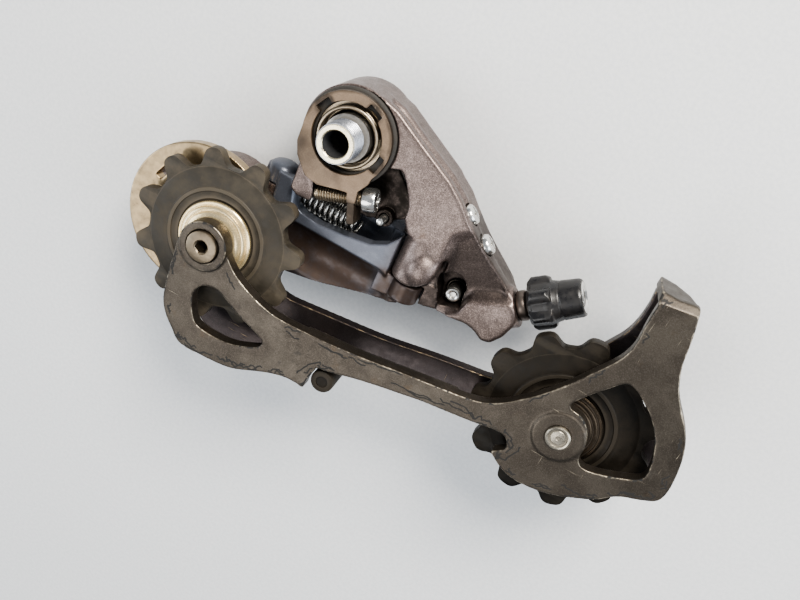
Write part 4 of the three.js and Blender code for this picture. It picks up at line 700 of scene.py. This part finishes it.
BAY = [(-3.0, -12.6), (-3.4, -19.5), (2, -23), (12, -23), (19.0, -14.5), (20.2, -10), (19, -6.8), (16.9, -3.4), (14.6, -1.6), (11.2, -2.8), (6.5, -7.8), (0, -11.6)]
k = sub(k, prism(BAY, -10.2, 1))
k = add(k, cylZ(14.9, -16.6, -11, -7.7, 2.3))
for P in (LIM_1, LIM_2):
    k = sub(k, rod(P, LIM_N, -9.6, 0, 2.3), rod(P, LIM_N, -2.55, 3, 3.05))
k = sub(k, cylZ(0, 0, -3.4, 0, 12.35, 128))
k = sub(k, cylY(BI[0], BI[1], -30, -15.6, R_PINHOLE), cylY(BO[0], BO[1], -36, -12, R_PINHOLE), rod(ADJ_0, adir, -6.5, 4, 3.2), rod(ADJ_0, adir, -14, -6, 1.4),
        cylZ(14.9, -16.6, -9.6, 0, 1.3), cylZ(39.2, -26.4, -13.2, 0, 2.3))
k = sub(k, cylY(BI[0], BI[1], -37, -28.25, 4.6), box(18, 27.5, -37, -28.25, -12.4, -1), cylY(BO[0], BO[1], -28.4, -20.2, 4.4), box(14, 23.5, -28.4, -20.2, -21.3, -12.3))
k = forge(k, 0.22, 6)
q = coords(k)


def depth_in(poly, xy):
    """1 well inside the closed outline, fading to 0 at 1.2 mm outside it."""
    P = np.array(poly, float); Q = np.roll(P, -1, 0)
    d = np.full(len(xy), 1e9); ins = np.zeros(len(xy), bool)
    for a_, b_ in zip(P, Q):
        ab = b_ - a_
        t = np.clip(((xy - a_) @ ab) / (ab @ ab), 0, 1)
        d = np.minimum(d, np.hypot(*(xy - a_ - t[:, None] * ab).T))
        c_ = ((a_[1] > xy[:, 1]) != (b_[1] > xy[:, 1])) & (xy[:, 0] < (b_[0] - a_[0]) * (xy[:, 1] - a_[1]) / (b_[1] - a_[1] + 1e-12) + a_[0])
        ins ^= c_
    return np.where(ins, 1.0, np.clip(1 - d / 1.2, 0, 1))


# Painted shade on the upper knuckle: the bay, the left side below the face, the pocket, the place under the lobe, the
# facet and the lower right end are darkened where shade falls.
bay = depth_in(BAY, q[:, :2]) * np.clip((-2.9 - q[:, 2]) / 1.5, 0, 1)
left_ = np.clip((-q[:, 1] - 9) / 3, 0, 1) * np.clip((12 - q[:, 0]) / 4, 0, 1) * np.clip((-2.9 - q[:, 2]) / 1.5, 0, 1)
pocket = np.clip((5.6 - np.hypot(q[:, 0] - 38.2, q[:, 1] + 24.8)) / 1.2, 0, 1) * np.clip((-4.6 - q[:, 2]) / 1.0, 0, 1)
FACE = [(34.6, -9.4), (36.4, -6.8), (39.8, -8.6), (44.8, -12.2), (49.4, -16.2), (51.6, -19.6), (47.6, -21.8), (43.0, -24.0), (41.4, -28.6), (34.6, -29.8), (34.4, -18.5)]
facet_ = depth_in(FACE, q[:, :2]) * np.clip((-3.0 - q[:, 2]) / 1.0, 0, 1)
low_ = np.clip((-23.0 - q[:, 1]) / 5, 0, 1) * np.clip((q[:, 0] - 38) / 6, 0, 1)
under_ = np.clip((39 - q[:, 0]) / 2.5, 0, 1) * np.clip((q[:, 0] - 28.5) / 1, 0, 1) * np.clip((-25.5 - q[:, 1]) / 1.5, 0, 1) * np.clip((-5.2 - q[:, 2]) / 0.8, 0, 1)
attribute(k, "shade_and_grease", np.maximum(np.maximum(bay, left_), np.maximum(np.maximum(pocket * 0.85, under_ * 0.85), np.maximum(facet_ * 0.68, low_ * 0.42))))
worn_tip = 0.75 * np.exp(-((q[:, 0] - 28.6) ** 2 + (q[:, 1] + 27.0) ** 2 + (q[:, 2] + 4.2) ** 2) / (2 * 2.1 ** 2))
kob = show("upper_knuckle", k, "b_knuckle", M_KNUCKLE, ["b_knuckle_body"], dense=True, spread=5)
cvx = np.empty(len(kob.data.vertices), dtype=np.float32); kob.data.attributes["convex"].data.foreach_get("value", cvx)
kob.data.attributes["convex"].data.foreach_set("value", np.clip(cvx + worn_tip, 0, 1).astype(np.float32))
show("dust_seal_upper", lathe([(8.6, -3.1), (12.0, -3.1), (12.1, -2.8), (12.0, -2.4), (11.4, -2.1), (9.0, -2.1), (8.6, -2.4)], n=128), "b_knuckle", M_SEAL, ["b_dust_seal"])
show("knuckle_spring_upper", tube(helix((0, 0), 8.2, -15.2, -5.2, 3.5, 60), 0.8, 14), "b_knuckle", M_SPRING, ["b_spring"])
show("pin_b_inner", bevelled(cylY(BI[0], BI[1], -33.8, -15.9, R_PIN), 0.2, 2), "b_knuckle", M_STEEL, ["link_pin_b_inner"])
show("pin_b_outer", bevelled(cylY(BO[0], BO[1], -33.4, -15.5, R_PIN), 0.2, 2), "b_knuckle", M_STEEL, ["link_pin_b_outer"])
show("hook_pin", lathe([(0, -9.3), (1.1, -9.3), (1.1, -4.5), (0.9, -4.1), (0.5, -3.9), (0, -3.9)], (14.9, -16.6, 0), n=48), "b_knuckle", M_BRIGHT, ["spring_hook_pin"])
show("pin_in_pocket", lathe([(0, -12.9), (2.05, -12.9), (2.05, -7.9), (1.7, -7.4), (1.3, -7.3), (0.9, -7.5), (0.7, -8.2), (0, -8.3)], (39.2, -26.4, 0), n=64), "b_knuckle", M_BRIGHT, ["pocket_pin"])
for nm, P, body in (("high_limit_screw", LIM_1, "high_limit"), ("low_limit_screw", LIM_2, "low_limit")):
    s = lathe([(0, -2.4), (2.3, -2.4), (2.7, -2.2), (2.78, -1.9), (2.75, -0.9), (2.45, -0.3), (1.7, 0.05), (0, 0.12)], P, LIM_N, 64)
    s = sub(s, *cross(P, LIM_N, (-LIM_N[1], LIM_N[0], 0), 1.65, 0.33, 1.1))
    show(nm + "_head", bevelled(s, 0.08, 2), body, M_BRIGHT, [nm])
    show(nm + "_shank", join(threaded(2.0, 0.7, 0.4, -9.0, -2.3, P, LIM_N, n=48, step=0.06), rod(P, LIM_N, -9.2, -8.5, 1.6)), body, M_STEEL, sharp=60)

# barrel adjuster
stem = join(sub(threaded(2.85, 0.8, 0.4, -6.2, 2.1, ADJ_0, adir, n=64, step=0.07), rod(ADJ_0, adir, -8, 4, 1.2)),
            lathe([(1.2, 1.8), (3.6, 1.8), (3.9, 2.1), (3.9, 3.8), (3.6, 4.2), (3.35, 4.4), (3.35, 5.2), (3.0, 5.35), (3.0, 5.6), (3.4, 5.75), (3.4, 6.6), (2.6, 6.9), (2.6, 12.2), (1.2, 12.2)], ADJ_0, adir, 72))
show("adjuster_barrel_stem", stem, "barrel_adjuster", M_STEM, ["adjuster_stem"], sharp=50)
lob = []
for i in range(144):
    t = i * math.pi / 72
    r = 6.05 + 0.85 * max(-0.75, math.cos(6 * t)) if True else 0
    lob.append((r * math.cos(t), r * math.sin(t)))
grip = place(prism(lob, 5.0, 10.9), ADJ_0, adir)
knob = add(grip, lathe([(2.0, 5.2), (4.9, 5.2), (5.6, 6.0), (5.7, 10.0), (5.1, 12.2), (4.85, ADJ_L - 1.0), (4.6, ADJ_L - 0.4), (4.35, ADJ_L - 0.3), (2.0, ADJ_L - 0.3)], ADJ_0, adir, 96))
# conical ends trim the lobes
knob = sub(knob, sub(rod(ADJ_0, adir, 9.2, 13.0, 9), rod(ADJ_0, adir, 9.1, 13.2, 7.4, 64, 4.6)), sub(rod(ADJ_0, adir, 4.5, 6.4, 9), rod(ADJ_0, adir, 4.4, 6.5, 5.2, 64, 7.4)))
knob = sub(knob, rod(ADJ_0, adir, 3, 7.2, 3.75), rod(ADJ_0, adir, 3, 20, 2.95), rod(ADJ_0, adir, 12.7, 20, 4.15))
show("adjuster_grip", forge(knob, 0.16, 4), "barrel_adjuster", M_BLACK, ["adjuster_knob"], dense=True)
show("adjuster_seat", lathe([(2.5, 12.9), (4.05, 12.9), (4.05, ADJ_L - 0.25), (3.8, ADJ_L), (3.0, ADJ_L), (2.5, ADJ_L - 0.5)], ADJ_0, adir, 96), "barrel_adjuster", M_BRIGHT, ["adjuster_insert"])

# ------------------------------------------------------------------ links
LL = math.hypot(PI_[0] - BI[0], PI_[1] - BI[1]); tilt = math.asin((PI_[1] - BI[1]) / LL)


def on_pins(me, pin):
    me.transform(Matrix.Translation((pin[0], 0, pin[1])) @ Matrix.Rotation(tilt, 4, "Y"))
    return me


ex = -LL
m = add(prism([(ex + 4.3, -18.4), (ex + 4.6, -21.2), (ex + 6.4, -24.0), (ex + 9.6, -25.5), (ex + 14.6, -25.9), (ex + 22, -24.9), (ex + 29.4, -23.6), (ex + 33.6, -21.3), (-5.7, -17.6), (-5.55, -28.3), (-5.2, -33.6), (0, -33.6), (0, -34.4), (-6, -37.0), (-19, -40.2), (-31, -42.6), (ex + 4.3, -42.8)], -0.9, 3.1),
        prism([(ex + 4.3, -30.5), (-6.0, -27.5), (-5.4, -33.6), (-6, -37.0), (-19, -40.2), (-31, -42.6), (ex + 4.3, -42.8)], -3.2, 1.0))
m = sub(m, cylX(-34.6, 8.3, ex + 8.5, -8.6, 8.2, 128), ball((-8.6, -34.6, 8.3), 8.2, n=96), ball((ex + 8.5, -34.6, 8.3), 8.2, n=96))
m = sub(m, cylY(0, 0, -28.4, -10, 5.55, 96), cylY(ex, 0, -36.3, -21.8, 4.2))
m = add(m, cylY(ex, 0, -21.7, -17.7, 4.0), ball((ex, -17.7, 0), 4.0, 1, 0.52, 1), both(rod((ex + 0.2, 0, 0), (0.16, -1, 0.10), 17.4, 27.5, 3.6), box(ex - 6, ex + 9, -26.5, -17.5, 0.2, 5)), prism([(ex, -21.7), (ex, -17.4), (ex + 4.2, -18.0), (ex + 5.2, -22.4), (ex + 4.4, -21.7)], -0.9, 3.1),
        cylY(ex, 0, -41.0, -36.4, 3.3), prism([(ex, -41.0), (ex, -36.4), (ex + 6, -36.4), (ex + 6, -41.0)], -3.0, 1.0),
        cylY(0, 0, -33.6, -28.45, 4.1), prism([(-8, -35.0), (-8, -28.45), (0, -28.45), (0, -33.6)], -3.2, 2.2))
m = sub(m, cylY(ex, 0, -36.3, -21.8, 4.2))
m = add(m, cylY(ex, 0, -41.0, -36.4, 3.3))
m = sub(m, cylY(0, 0, -36, -26, R_PINHOLE), cylY(ex, 0, -43.5, -17.0, R_PINHOLE))
lm = forge(m, 0.2, 14)
q = coords(lm)
# Painted shade on the inboard link: the scoop and the end that sits among the knuckle's ears are darkened where shade
# falls; the strip along the lower edge is darker too.
inside = np.clip((8.55 - np.hypot(q[:, 1] + 34.6, q[:, 2] - 8.3)) / 0.25, 0, 1) * np.clip((3.0 - q[:, 2]) / 0.6, 0, 1) * np.clip((-6 - q[:, 0]) / 4, 0, 1)
low_ = np.clip((-36 - q[:, 1]) / 3, 0, 1)
right = np.clip((q[:, 0] + 9) / 4, 0, 1) * np.clip((q[:, 1] + 30) / 4, 0, 1) * 0.5
ear_ = np.clip((q[:, 0] + 10) / 4, 0, 1) * np.clip((-26 - q[:, 1]) / 2, 0, 1)
attribute(lm, "shade_and_grease", np.clip(np.maximum(np.maximum(inside, low_ * 0.8), np.maximum(right, ear_)), 0, 1))
show("link_inboard", on_pins(lm, BI), "inner_link_body", M_LINK, ["inner_link"], dense=True)

o = add(prism([(ex + 4.5, -21.2), (ex + 9, -20.4), (-3, -20.4), (-3, -28.1), (-4.7, -28.2), (-6.2, -31.5), (ex + 16, -37.0), (ex + 4.5, -37.6)], -3.3, 1.2), box(-6, 0, -28.1, -20.4, -3.3, 1.9))
o = sub(o, cylY(ex, 0, -36.3, -25.8, 4.2))
o = add(o, cylY(ex, 0, -25.7, -21.4, 3.8), prism([(ex, -25.7), (ex, -21.6), (ex + 6, -21.2), (ex + 6, -26.2), (ex + 4.2, -25.7)], -3.3, 1.2),
        cylY(ex, 0, -40.6, -36.4, 3.4), prism([(ex, -40.6), (ex, -36.4), (ex + 6, -36.4), (ex + 9, -38.0), (ex + 6, -40.6)], -3.3, 1.2), cylY(0, 0, -28.1, -20.5, 3.9))
o = sub(o, cylY(0, 0, -36, -12, R_PINHOLE), cylY(ex, 0, -43, -15, R_PINHOLE), cylZ(-17.5, -30, -6, 3, 2.7), cylX(-24.0, 5.2, -33, -10, 4.2))
show("link_outboard", forge(on_pins(o, BO), 0.24, 6), "outer_link_body", M_LINK, ["outer_link"], dense=True)
sp = tube(helix((0, 0), 3.0, -13.4, 4.4, 11, 40), 0.56, 12)
sp.transform(Matrix.Rotation(math.pi / 2, 4, "Y"))
sp.transform(Matrix.Translation((-23.5 + 4.4, -23.6, 4.6)))
show("coil_between_links", on_pins(sp, BO), "outer_link_body", M_SPRING, ["return_spring"])
w = sub(lathe([(2.7, -5.0), (4.4, -5.0), (4.6, -4.8), (4.6, -3.6), (2.7, -3.6)], (-17.5, -30, 0), n=72), obox((-17.5, -27.0, -5.2), (1, 0, 0), (0, 1, 0), (5, 0.6, 0.5)))
show("clamp_plate", on_pins(w, BO), "outer_link_body", M_STEEL, ["cable_clamp_washer"])
cb = sub(lathe([(0, -8.4), (3.7, -8.4), (4.2, -7.9), (4.2, -5.3), (2.5, -5.3), (2.5, 0.4), (2.2, 0.6), (0, 0.6)], (-17.5, -30, 0), n=72), prism(circle(-17.5, -30, 2.6, 6), -11, -6))
show("clamp_screw", on_pins(cb, BO), "clamp_bolt", M_BRIGHT, ["cable_clamp_bolt"])

# ------------------------------------------------------------------ lower knuckle
p = add(cylZ(P0[0], P0[1], -25.2, -5.8, 13.4, 160), cylZ(P0[0], P0[1], -26.2, -25.2, 12.4, 160, 13.4), cylY(PI_[0], PI_[1], -36, -22, 3.7), cylY(PO[0], PO[1], -36, -26, 3.7),
        prismY([(-30, -7.0), (-19, -7.0), (PI_[0], -6.9), (PI_[0] + 2.4, -12.4), (PO[0] + 3.2, -22), (PO[0], -23.6), (-30, -23.6)], -35.8, -26))
p = sub(p, cylZ(P0[0], P0[1], -22.5, 0, 10.2, 128), cylZ(P0[0], P0[1], -30, 0, 4.3), cylY(PI_[0], PI_[1], -44, -36.2, 4.3), cylY(PO[0], PO[1], -44, -36.2, 4.3),
        box(PI_[0], -5, -44, -36.2, -16, -5), box(PO[0], -5, -44, -36.2, -26, -14), cylY(PI_[0], PI_[1], -21.9, -12, 4.3), cylY(PO[0], PO[1], -25.9, -12, 4.3),
        cylY(PI_[0], PI_[1], -45, -15, R_PINHOLE), cylY(PO[0], PO[1], -45, -15, R_PINHOLE))
sa = math.radians(173.6)
p = add(p, obox((P0[0] + 15.6 * math.cos(sa), P0[1] + 15.6 * math.sin(sa), -9.6), (math.cos(sa), math.sin(sa), 0), (-math.sin(sa), math.cos(sa), 0), (3.0, 1.6, 3.0)))
p = sub(p, cylZ(P0[0], P0[1], -22.5, 0, 10.2, 128))
show("lower_knuckle", forge(p, 0.26, 7), "p_knuckle", M_KNUCKLE, ["p_knuckle_body"], dense=True)
show("knuckle_spring_lower", tube(helix(P0, 6.7, -21.0, -8.2, 4, 60), 0.85, 14), "p_knuckle", M_SPRING, ["p_spring"])
show("dust_seal_lower", lathe([(8.9, -7.2), (10.0, -7.2), (10.0, -5.65), (8.9, -5.65)], (P0[0], P0[1], 0), n=128), "p_knuckle", M_SEAL, ["p_seal"])
show("pin_p_inner", bevelled(cylY(PI_[0], PI_[1], -41.2, -17.3, R_PIN), 0.25, 2), "p_knuckle", M_STEM, ["link_pin_p_inner"])
show("pin_p_outer", bevelled(cylY(PO[0], PO[1], -40.8, -21.2, R_PIN), 0.25, 2), "p_knuckle", M_STEM, ["link_pin_p_outer"])

# ------------------------------------------------------------------ cage
c = add(prism(spline(INNER, 3), IN0, IN1, [spline(WIN1, 4), spline(WIN2, 4)]), cylZ(G[0], G[1], IN0, 11.5, 6.5, 160), cylZ(T[0], T[1], IN0, 10.95, 6.4, 160),
        prismY([(81.0, 10.6), (89.5, 10.6), (89.5, 5.8), (87.6, 1.8), (84.2, -0.9), (80.2, -1.75), (80.3, 3.5)], 2.6, 5.0),
        prism([(11.1, -46.3), (26.6, -45.0), (42.4, -42.7), (51.8, -41.4), (51.8, -43.0), (42.4, -44.3), (26.6, -46.6), (11.1, -47.9)], 6.2, 8))
bn = unit((-0.133, 0.991, 1.0))
c = sub(c, obox((85.2 + 1.9 * bn[0], 5.0 + 1.9 * bn[1], 10.6 + 1.9 * bn[2]), (0.991, 0.133, 0), bn, (7.5, 3, 3)))
c = sub(c, cylZ(G[0], G[1], 9.6, 12, 4.45), cylZ(G[0], G[1], 5, 12, 2.9), cylZ(T[0], T[1], 5, 12, 2.85))


def squiggles(outline, seed):
    """Short wandering cracks that follow a clockwise outline a little way inside it."""
    rng = np.random.default_rng(seed); P = np.array(outline, float); m_ = len(P); out = []
    for i in range(0, m_, 2):
        low = P[i][1] < -43.0 or P[i][0] > 99
        if rng.random() > (0.62 if low else 0.25):
            continue
        for _ in range(2 if low else 1):
            s_ = i + rng.uniform(-0.5, 0.5); end = s_ + rng.uniform(0.8, 2.6); o_ = rng.uniform(0.6, 1.9); pts = []
            while s_ < end:
                k_ = int(math.floor(s_)) % m_; f_ = s_ - math.floor(s_)
                a_, b_ = P[k_], P[(k_ + 1) % m_]
                t_ = (b_ - a_) / max(1e-6, np.linalg.norm(b_ - a_))
                pts.append(a_ * (1 - f_) + b_ * f_ + np.array([t_[1], -t_[0]]) * o_ + rng.normal(0, 0.10, 2))
                o_ = float(np.clip(o_ + rng.normal(0, 0.34), 0.45, 3.4)); s_ += 0.20
            out.append(pts)
    return out


def near_lines(q, lines, half, soft):
    best = np.full(len(q), 9.0)
    for pts in lines:
        for a_, b_ in zip(pts[:-1], pts[1:]):
            c_ = (a_ + b_) / 2; idx = np.nonzero((np.abs(q[:, 0] - c_[0]) < 1.6) & (np.abs(q[:, 1] - c_[1]) < 1.6))[0]
            if len(idx) == 0:
                continue
            ab = b_ - a_; d_ = q[idx, :2] - a_
            t_ = np.clip((d_ @ ab) / max(1e-9, ab @ ab), 0, 1)
            best[idx] = np.minimum(best[idx], np.hypot(*(d_ - t_[:, None] * ab).T))
    return np.clip(1 - (best - half) / soft, 0, 1)


c = forge(c, 0.22, 11)
q = coords(c)
attribute(c, "crack", near_lines(q, squiggles(INNER, 11), 0.10, 0.15) * np.clip((q[:, 2] - 9.4) / 0.4, 0, 1) * np.clip((np.hypot(q[:, 0] - G[0], q[:, 1] - G[1]) - 7.6) / 0.5, 0, 1))
show("cage_plate_inboard", c, "cage", M_PLATE, ["inner_cage_plate"], dense=True)
inset = lambda poly, s, q: [(q[0] + (a - q[0]) * s, q[1] + (b - q[1]) * s) for a, b in poly]
d = add(prism(spline(OUTER, 3), OU0, OU1, [spline(inset(WIN2, 0.86, (80.5, -31)), 3)]), cylZ(P0[0], P0[1], OU0, OU1, R_DISC, 220))
sa = math.radians(163)
d = sub(d, cylZ(P0[0], P0[1], -9, 0, 4.3), cylZ(G[0], G[1], -9, 0, 2.9), cylZ(T[0], T[1], -9, 0, 2.9), obox((-42.2, -31.2, -3.7), (0.45, 0.89, 0), (-0.89, 0.45, 0), (2.4, 0.9, 4)),
        cylZ(P0[0] + 17 * math.cos(sa), P0[1] + 17 * math.sin(sa), -9, -3.4, 1.6))
dm = forge(d, 0.22, 5)
n = len(dm.vertices); co = np.empty(n * 3); dm.vertices.foreach_get("co", co); co = co.reshape(-1, 3)
rr = np.hypot(co[:, 0] - P0[0], co[:, 1] - P0[1])
bare = np.clip((rr - 9) / 4, 0, 1) * np.clip((20.5 - rr) / 0.5, 0, 1) * np.clip((-12 - co[:, 0]) / 8, 0, 1)
dm.attributes.new("bare", "FLOAT", "POINT").data.foreach_set("value", bare.astype(np.float32))
show("cage_plate_outboard", dm, "cage", M_OUTER, ["outer_cage_plate"], dense=True)
show("stop_pin", bevelled(cylZ(P0[0] + 17 * math.cos(sa), P0[1] + 17 * math.sin(sa), -9.6, -3.6, 1.3), 0.15, 2), "cage", M_STEEL, ["cage_stop_pin"])
# The spacer takes the darker, shaded copy of the pulley plastic.
show("plate_spacer", lathe([(0, -1.8), (2.7, -1.8), (3.1, -1.2), (3.1, 8.9), (2.95, 9.4), (2.6, 9.6), (1.6, 9.6), (1.45, 9.3), (0, 9.3)], (20.2, -57.4, 0), n=64), "cage", M_PULLEY_SHADED, ["cage_spacer"])
ax = sub(lathe([(0, -27.6), (5.6, -27.6), (6.2, -27.3), (6.4, -26.9), (6.4, -26.5), (4.0, -26.5), (4.0, -2.6), (3.7, -2.2), (0, -2.2)], (P0[0], P0[1], 0), n=80), prism(circle(P0[0], P0[1], 2.9, 6), -30, -25.1))
show("pivot_axle", ax, "cage", M_STEEL, ["p_axle"])


def tooth_ring(c, ph, z0, z1, r_in, root, lean):
    n = TEETH * 36; pts = []
    for i in range(n):
        u = 2 * math.pi * i / n
        w = (math.tanh(1.7 * (math.cos(TEETH * u) - lean)) + math.tanh(1.7 * (1 + lean))) / (math.tanh(1.7 * (1 - lean)) + math.tanh(1.7 * (1 + lean)))
        r = root + (R_TIP - root) * w
        a = u + math.radians(ph)
        pts.append((c[0] + r * math.cos(a), c[1] + r * math.sin(a)))
    return prism(pts, z0, z1, [circle(c[0], c[1], r_in, 96)])


for nm, c, ph, root, lean in (("guide", G, PH_G, R_ROOT, 0.20), ("tension", T, PH_T, R_ROOT + 1.1, 0.0)):
    teeth = bevelled(tooth_ring(c, ph, ZP - 1.5, ZP + 1.5, 16, root, lean), 0.4, 3, 50)
    half = [(4.6, 1.3), (4.9, 1.6), (10.2, 1.6), (10.45, 1.75), (10.6, 2.0), (12.3, 2.0), (12.5, 2.1), (12.6, 2.3), (13.4, 2.35), (13.6, 2.2), (13.9, 2.15), (14.1, 2.2), (15.2, 2.1), (17.2, 1.85), (18.3, 1.62), (18.85, 1.45), (18.88, 1.1)]
    web = lathe(half + [(r, -z) for r, z in reversed(half)], (c[0], c[1], ZP), n=160)
    # The tension wheel takes the darker copy of the pulley plastic: painted shade.
    show(nm + "_wheel_body", join(teeth, web), nm + "_wheel", M_PULLEY if nm == "guide" else M_PULLEY_SHADED, [nm + "_pulley"], sharp=34)
    cap = [(4.6, 3.3), (6.8, 3.2), (8.3, 2.7), (9.0, 1.85), (9.95, 1.85), (10.05, 2.1), (10.0, 2.75), (9.8, 2.95), (9.35, 2.95), (9.2, 2.8), (9.05, 2.8), (8.9, 3.0), (8.8, 3.45), (8.55, 3.6), (8.1, 3.6), (7.95, 3.5), (7.8, 3.5), (7.65, 3.7), (7.5, 4.2), (7.2, 4.38), (5.3, 4.38), (4.8, 4.3), (4.6, 4.1)]
    # The tension wheel's inner cap takes the darker copy of the cap finish: painted shade.
    show(nm + "_dust_cap_in", lathe(cap, (c[0], c[1], ZP), n=144), "cage", M_CAP if nm == "guide" else M_CAP_SHADED, [nm + "_cap_inner"])
    show(nm + "_dust_cap_out", lathe([(r, -z) for r, z in reversed(cap)], (c[0], c[1], ZP), n=144), "cage", M_CAP, [nm + "_cap_outer"])
    show(nm + "_sleeve", lathe([(2.8, OU1 + 0.3), (4.3, OU1 + 0.3), (4.3, IN0 - 0.3), (2.8, IN0 - 0.3)], (c[0], c[1], 0), n=80), "cage", M_STEEL, [nm + "_bushing"])
gb = sub(lathe([(0, OU0 + 0.2), (2.5, OU0 + 0.2), (2.5, 9.9), (4.15, 9.9), (4.2, 11.75), (4.1, 12.0), (3.85, 12.1), (0, 12.1)], (G[0], G[1], 0), n=96), prism(circle(G[0], G[1], 1.75, 6, 0.4), 6.5, 14),
         lathe([(0, 13), (2.3, 13), (1.95, 12.02), (1.4, 11.6), (0, 11.6)], (G[0], G[1], 0), n=48))
show("guide_screw", gb, "cage", M_BOLT, ["guide_bolt"])
tb = sub(lathe([(0, -8.4), (3.7, -8.4), (4.1, -8.1), (4.2, -7.7), (4.2, OU0 - 0.3), (2.5, OU0 - 0.3), (2.78, OU0 - 0.1), (2.78, 11.0), (3.15, 11.0), (3.2, 11.2), (3.05, 11.55), (2.75, 11.7), (2.4, 11.62), (2.15, 11.25), (1.9, 11.2), (1.75, 11.35), (0.6, 11.42), (0.45, 11.25), (0, 11.2)], (T[0], T[1], 0), n=96), prism(circle(T[0], T[1], 2.3, 6), -12, -6.4))
show("tension_screw", tb, "cage", M_TBOLT, ["tension_bolt"])

# ------------------------------------------------------------------ stage, lights, camera
low = CAD_BOX[0][2] if not isinstance(CAD_BOX, dict) else CAD_BOX["lo"][2]
fm = N("floor_paper")
fn = fm.noise(900, 4, 0.6)
fm.set(Base_Color=fm.mix(fm.step(fn, 0.3, 0.7), (0.60, 0.61, 0.62), (0.66, 0.665, 0.67)), Roughness=0.85, Normal=fm.bump(fn, 0.15, 0.0001))
fme = mesh_of([(-3, -3, 0), (3, -3, 0), (3, 3, 0), (-3, 3, 0)], [(0, 1, 2, 3)], "floor")
floor = bpy.data.objects.new("floor", fme); floor.location = (0, 0, low - 0.0004)
fme.materials.append(fm.mat)
bpy.context.scene.collection.objects.link(floor)

world = bpy.data.worlds.new("w"); bpy.context.scene.world = world; world.use_nodes = True
world.node_tree.nodes["Background"].inputs[0].default_value = (0.86, 0.92, 1.0, 1)
world.node_tree.nodes["Background"].inputs[1].default_value = 0.36


def area(name, loc, target, size, power, color=(1, 1, 1), size_y=None):
    l = bpy.data.lights.new(name, "AREA"); l.energy = power; l.color = color; l.size = size
    if size_y:
        l.shape = "RECTANGLE"; l.size_y = size_y
    ob = bpy.data.objects.new(name, l); ob.location = loc
    ob.rotation_euler = (Vector(target) - Vector(loc)).to_track_quat("-Z", "Y").to_euler()
    bpy.context.scene.collection.objects.link(ob)


mid = (0.03, -0.03, 0)
area("key", (0.16, 0.52, 0.42), mid, 0.28, 10.0, (1.0, 0.95, 0.87))
area("fill", (0.65, 0.10, 0.45), mid, 0.5, 3.5, (0.88, 0.94, 1.0))
area("rim", (-0.55, -0.25, 0.40), mid, 0.4, 2.2, (0.9, 0.95, 1.0))
area("front", (-0.10, -0.35, 0.75), mid, 0.45, 2.6, (1.0, 0.985, 0.96))

cam = bpy.data.cameras.new("cam"); co_ = bpy.data.objects.new("cam", cam)
cam.lens = 39.55; cam.sensor_width = 36; cam.sensor_fit = "HORIZONTAL"; cam.clip_start = 0.01; cam.clip_end = 20
RV = Vector((-2.64301726, -0.62968629, 0.27547003))
R = Matrix.Rotation(RV.length, 3, RV.normalized())
tvec = Vector((-12.89709158, -38.54442404, 209.90276619))
pos = -(R.transposed() @ tvec) * MM
X, Y, Z = Vector(R[0]), -Vector(R[1]), -Vector(R[2])
co_.matrix_world = Matrix(((X.x, Y.x, Z.x, pos.x), (X.y, Y.y, Z.y, pos.y), (X.z, Y.z, Z.z, pos.z), (0, 0, 0, 1)))
bpy.context.scene.collection.objects.link(co_)
bpy.context.scene.camera = co_
bpy.context.scene.view_settings.view_transform = "AgX"
bpy.context.scene.view_settings.look = "AgX - Medium High Contrast"
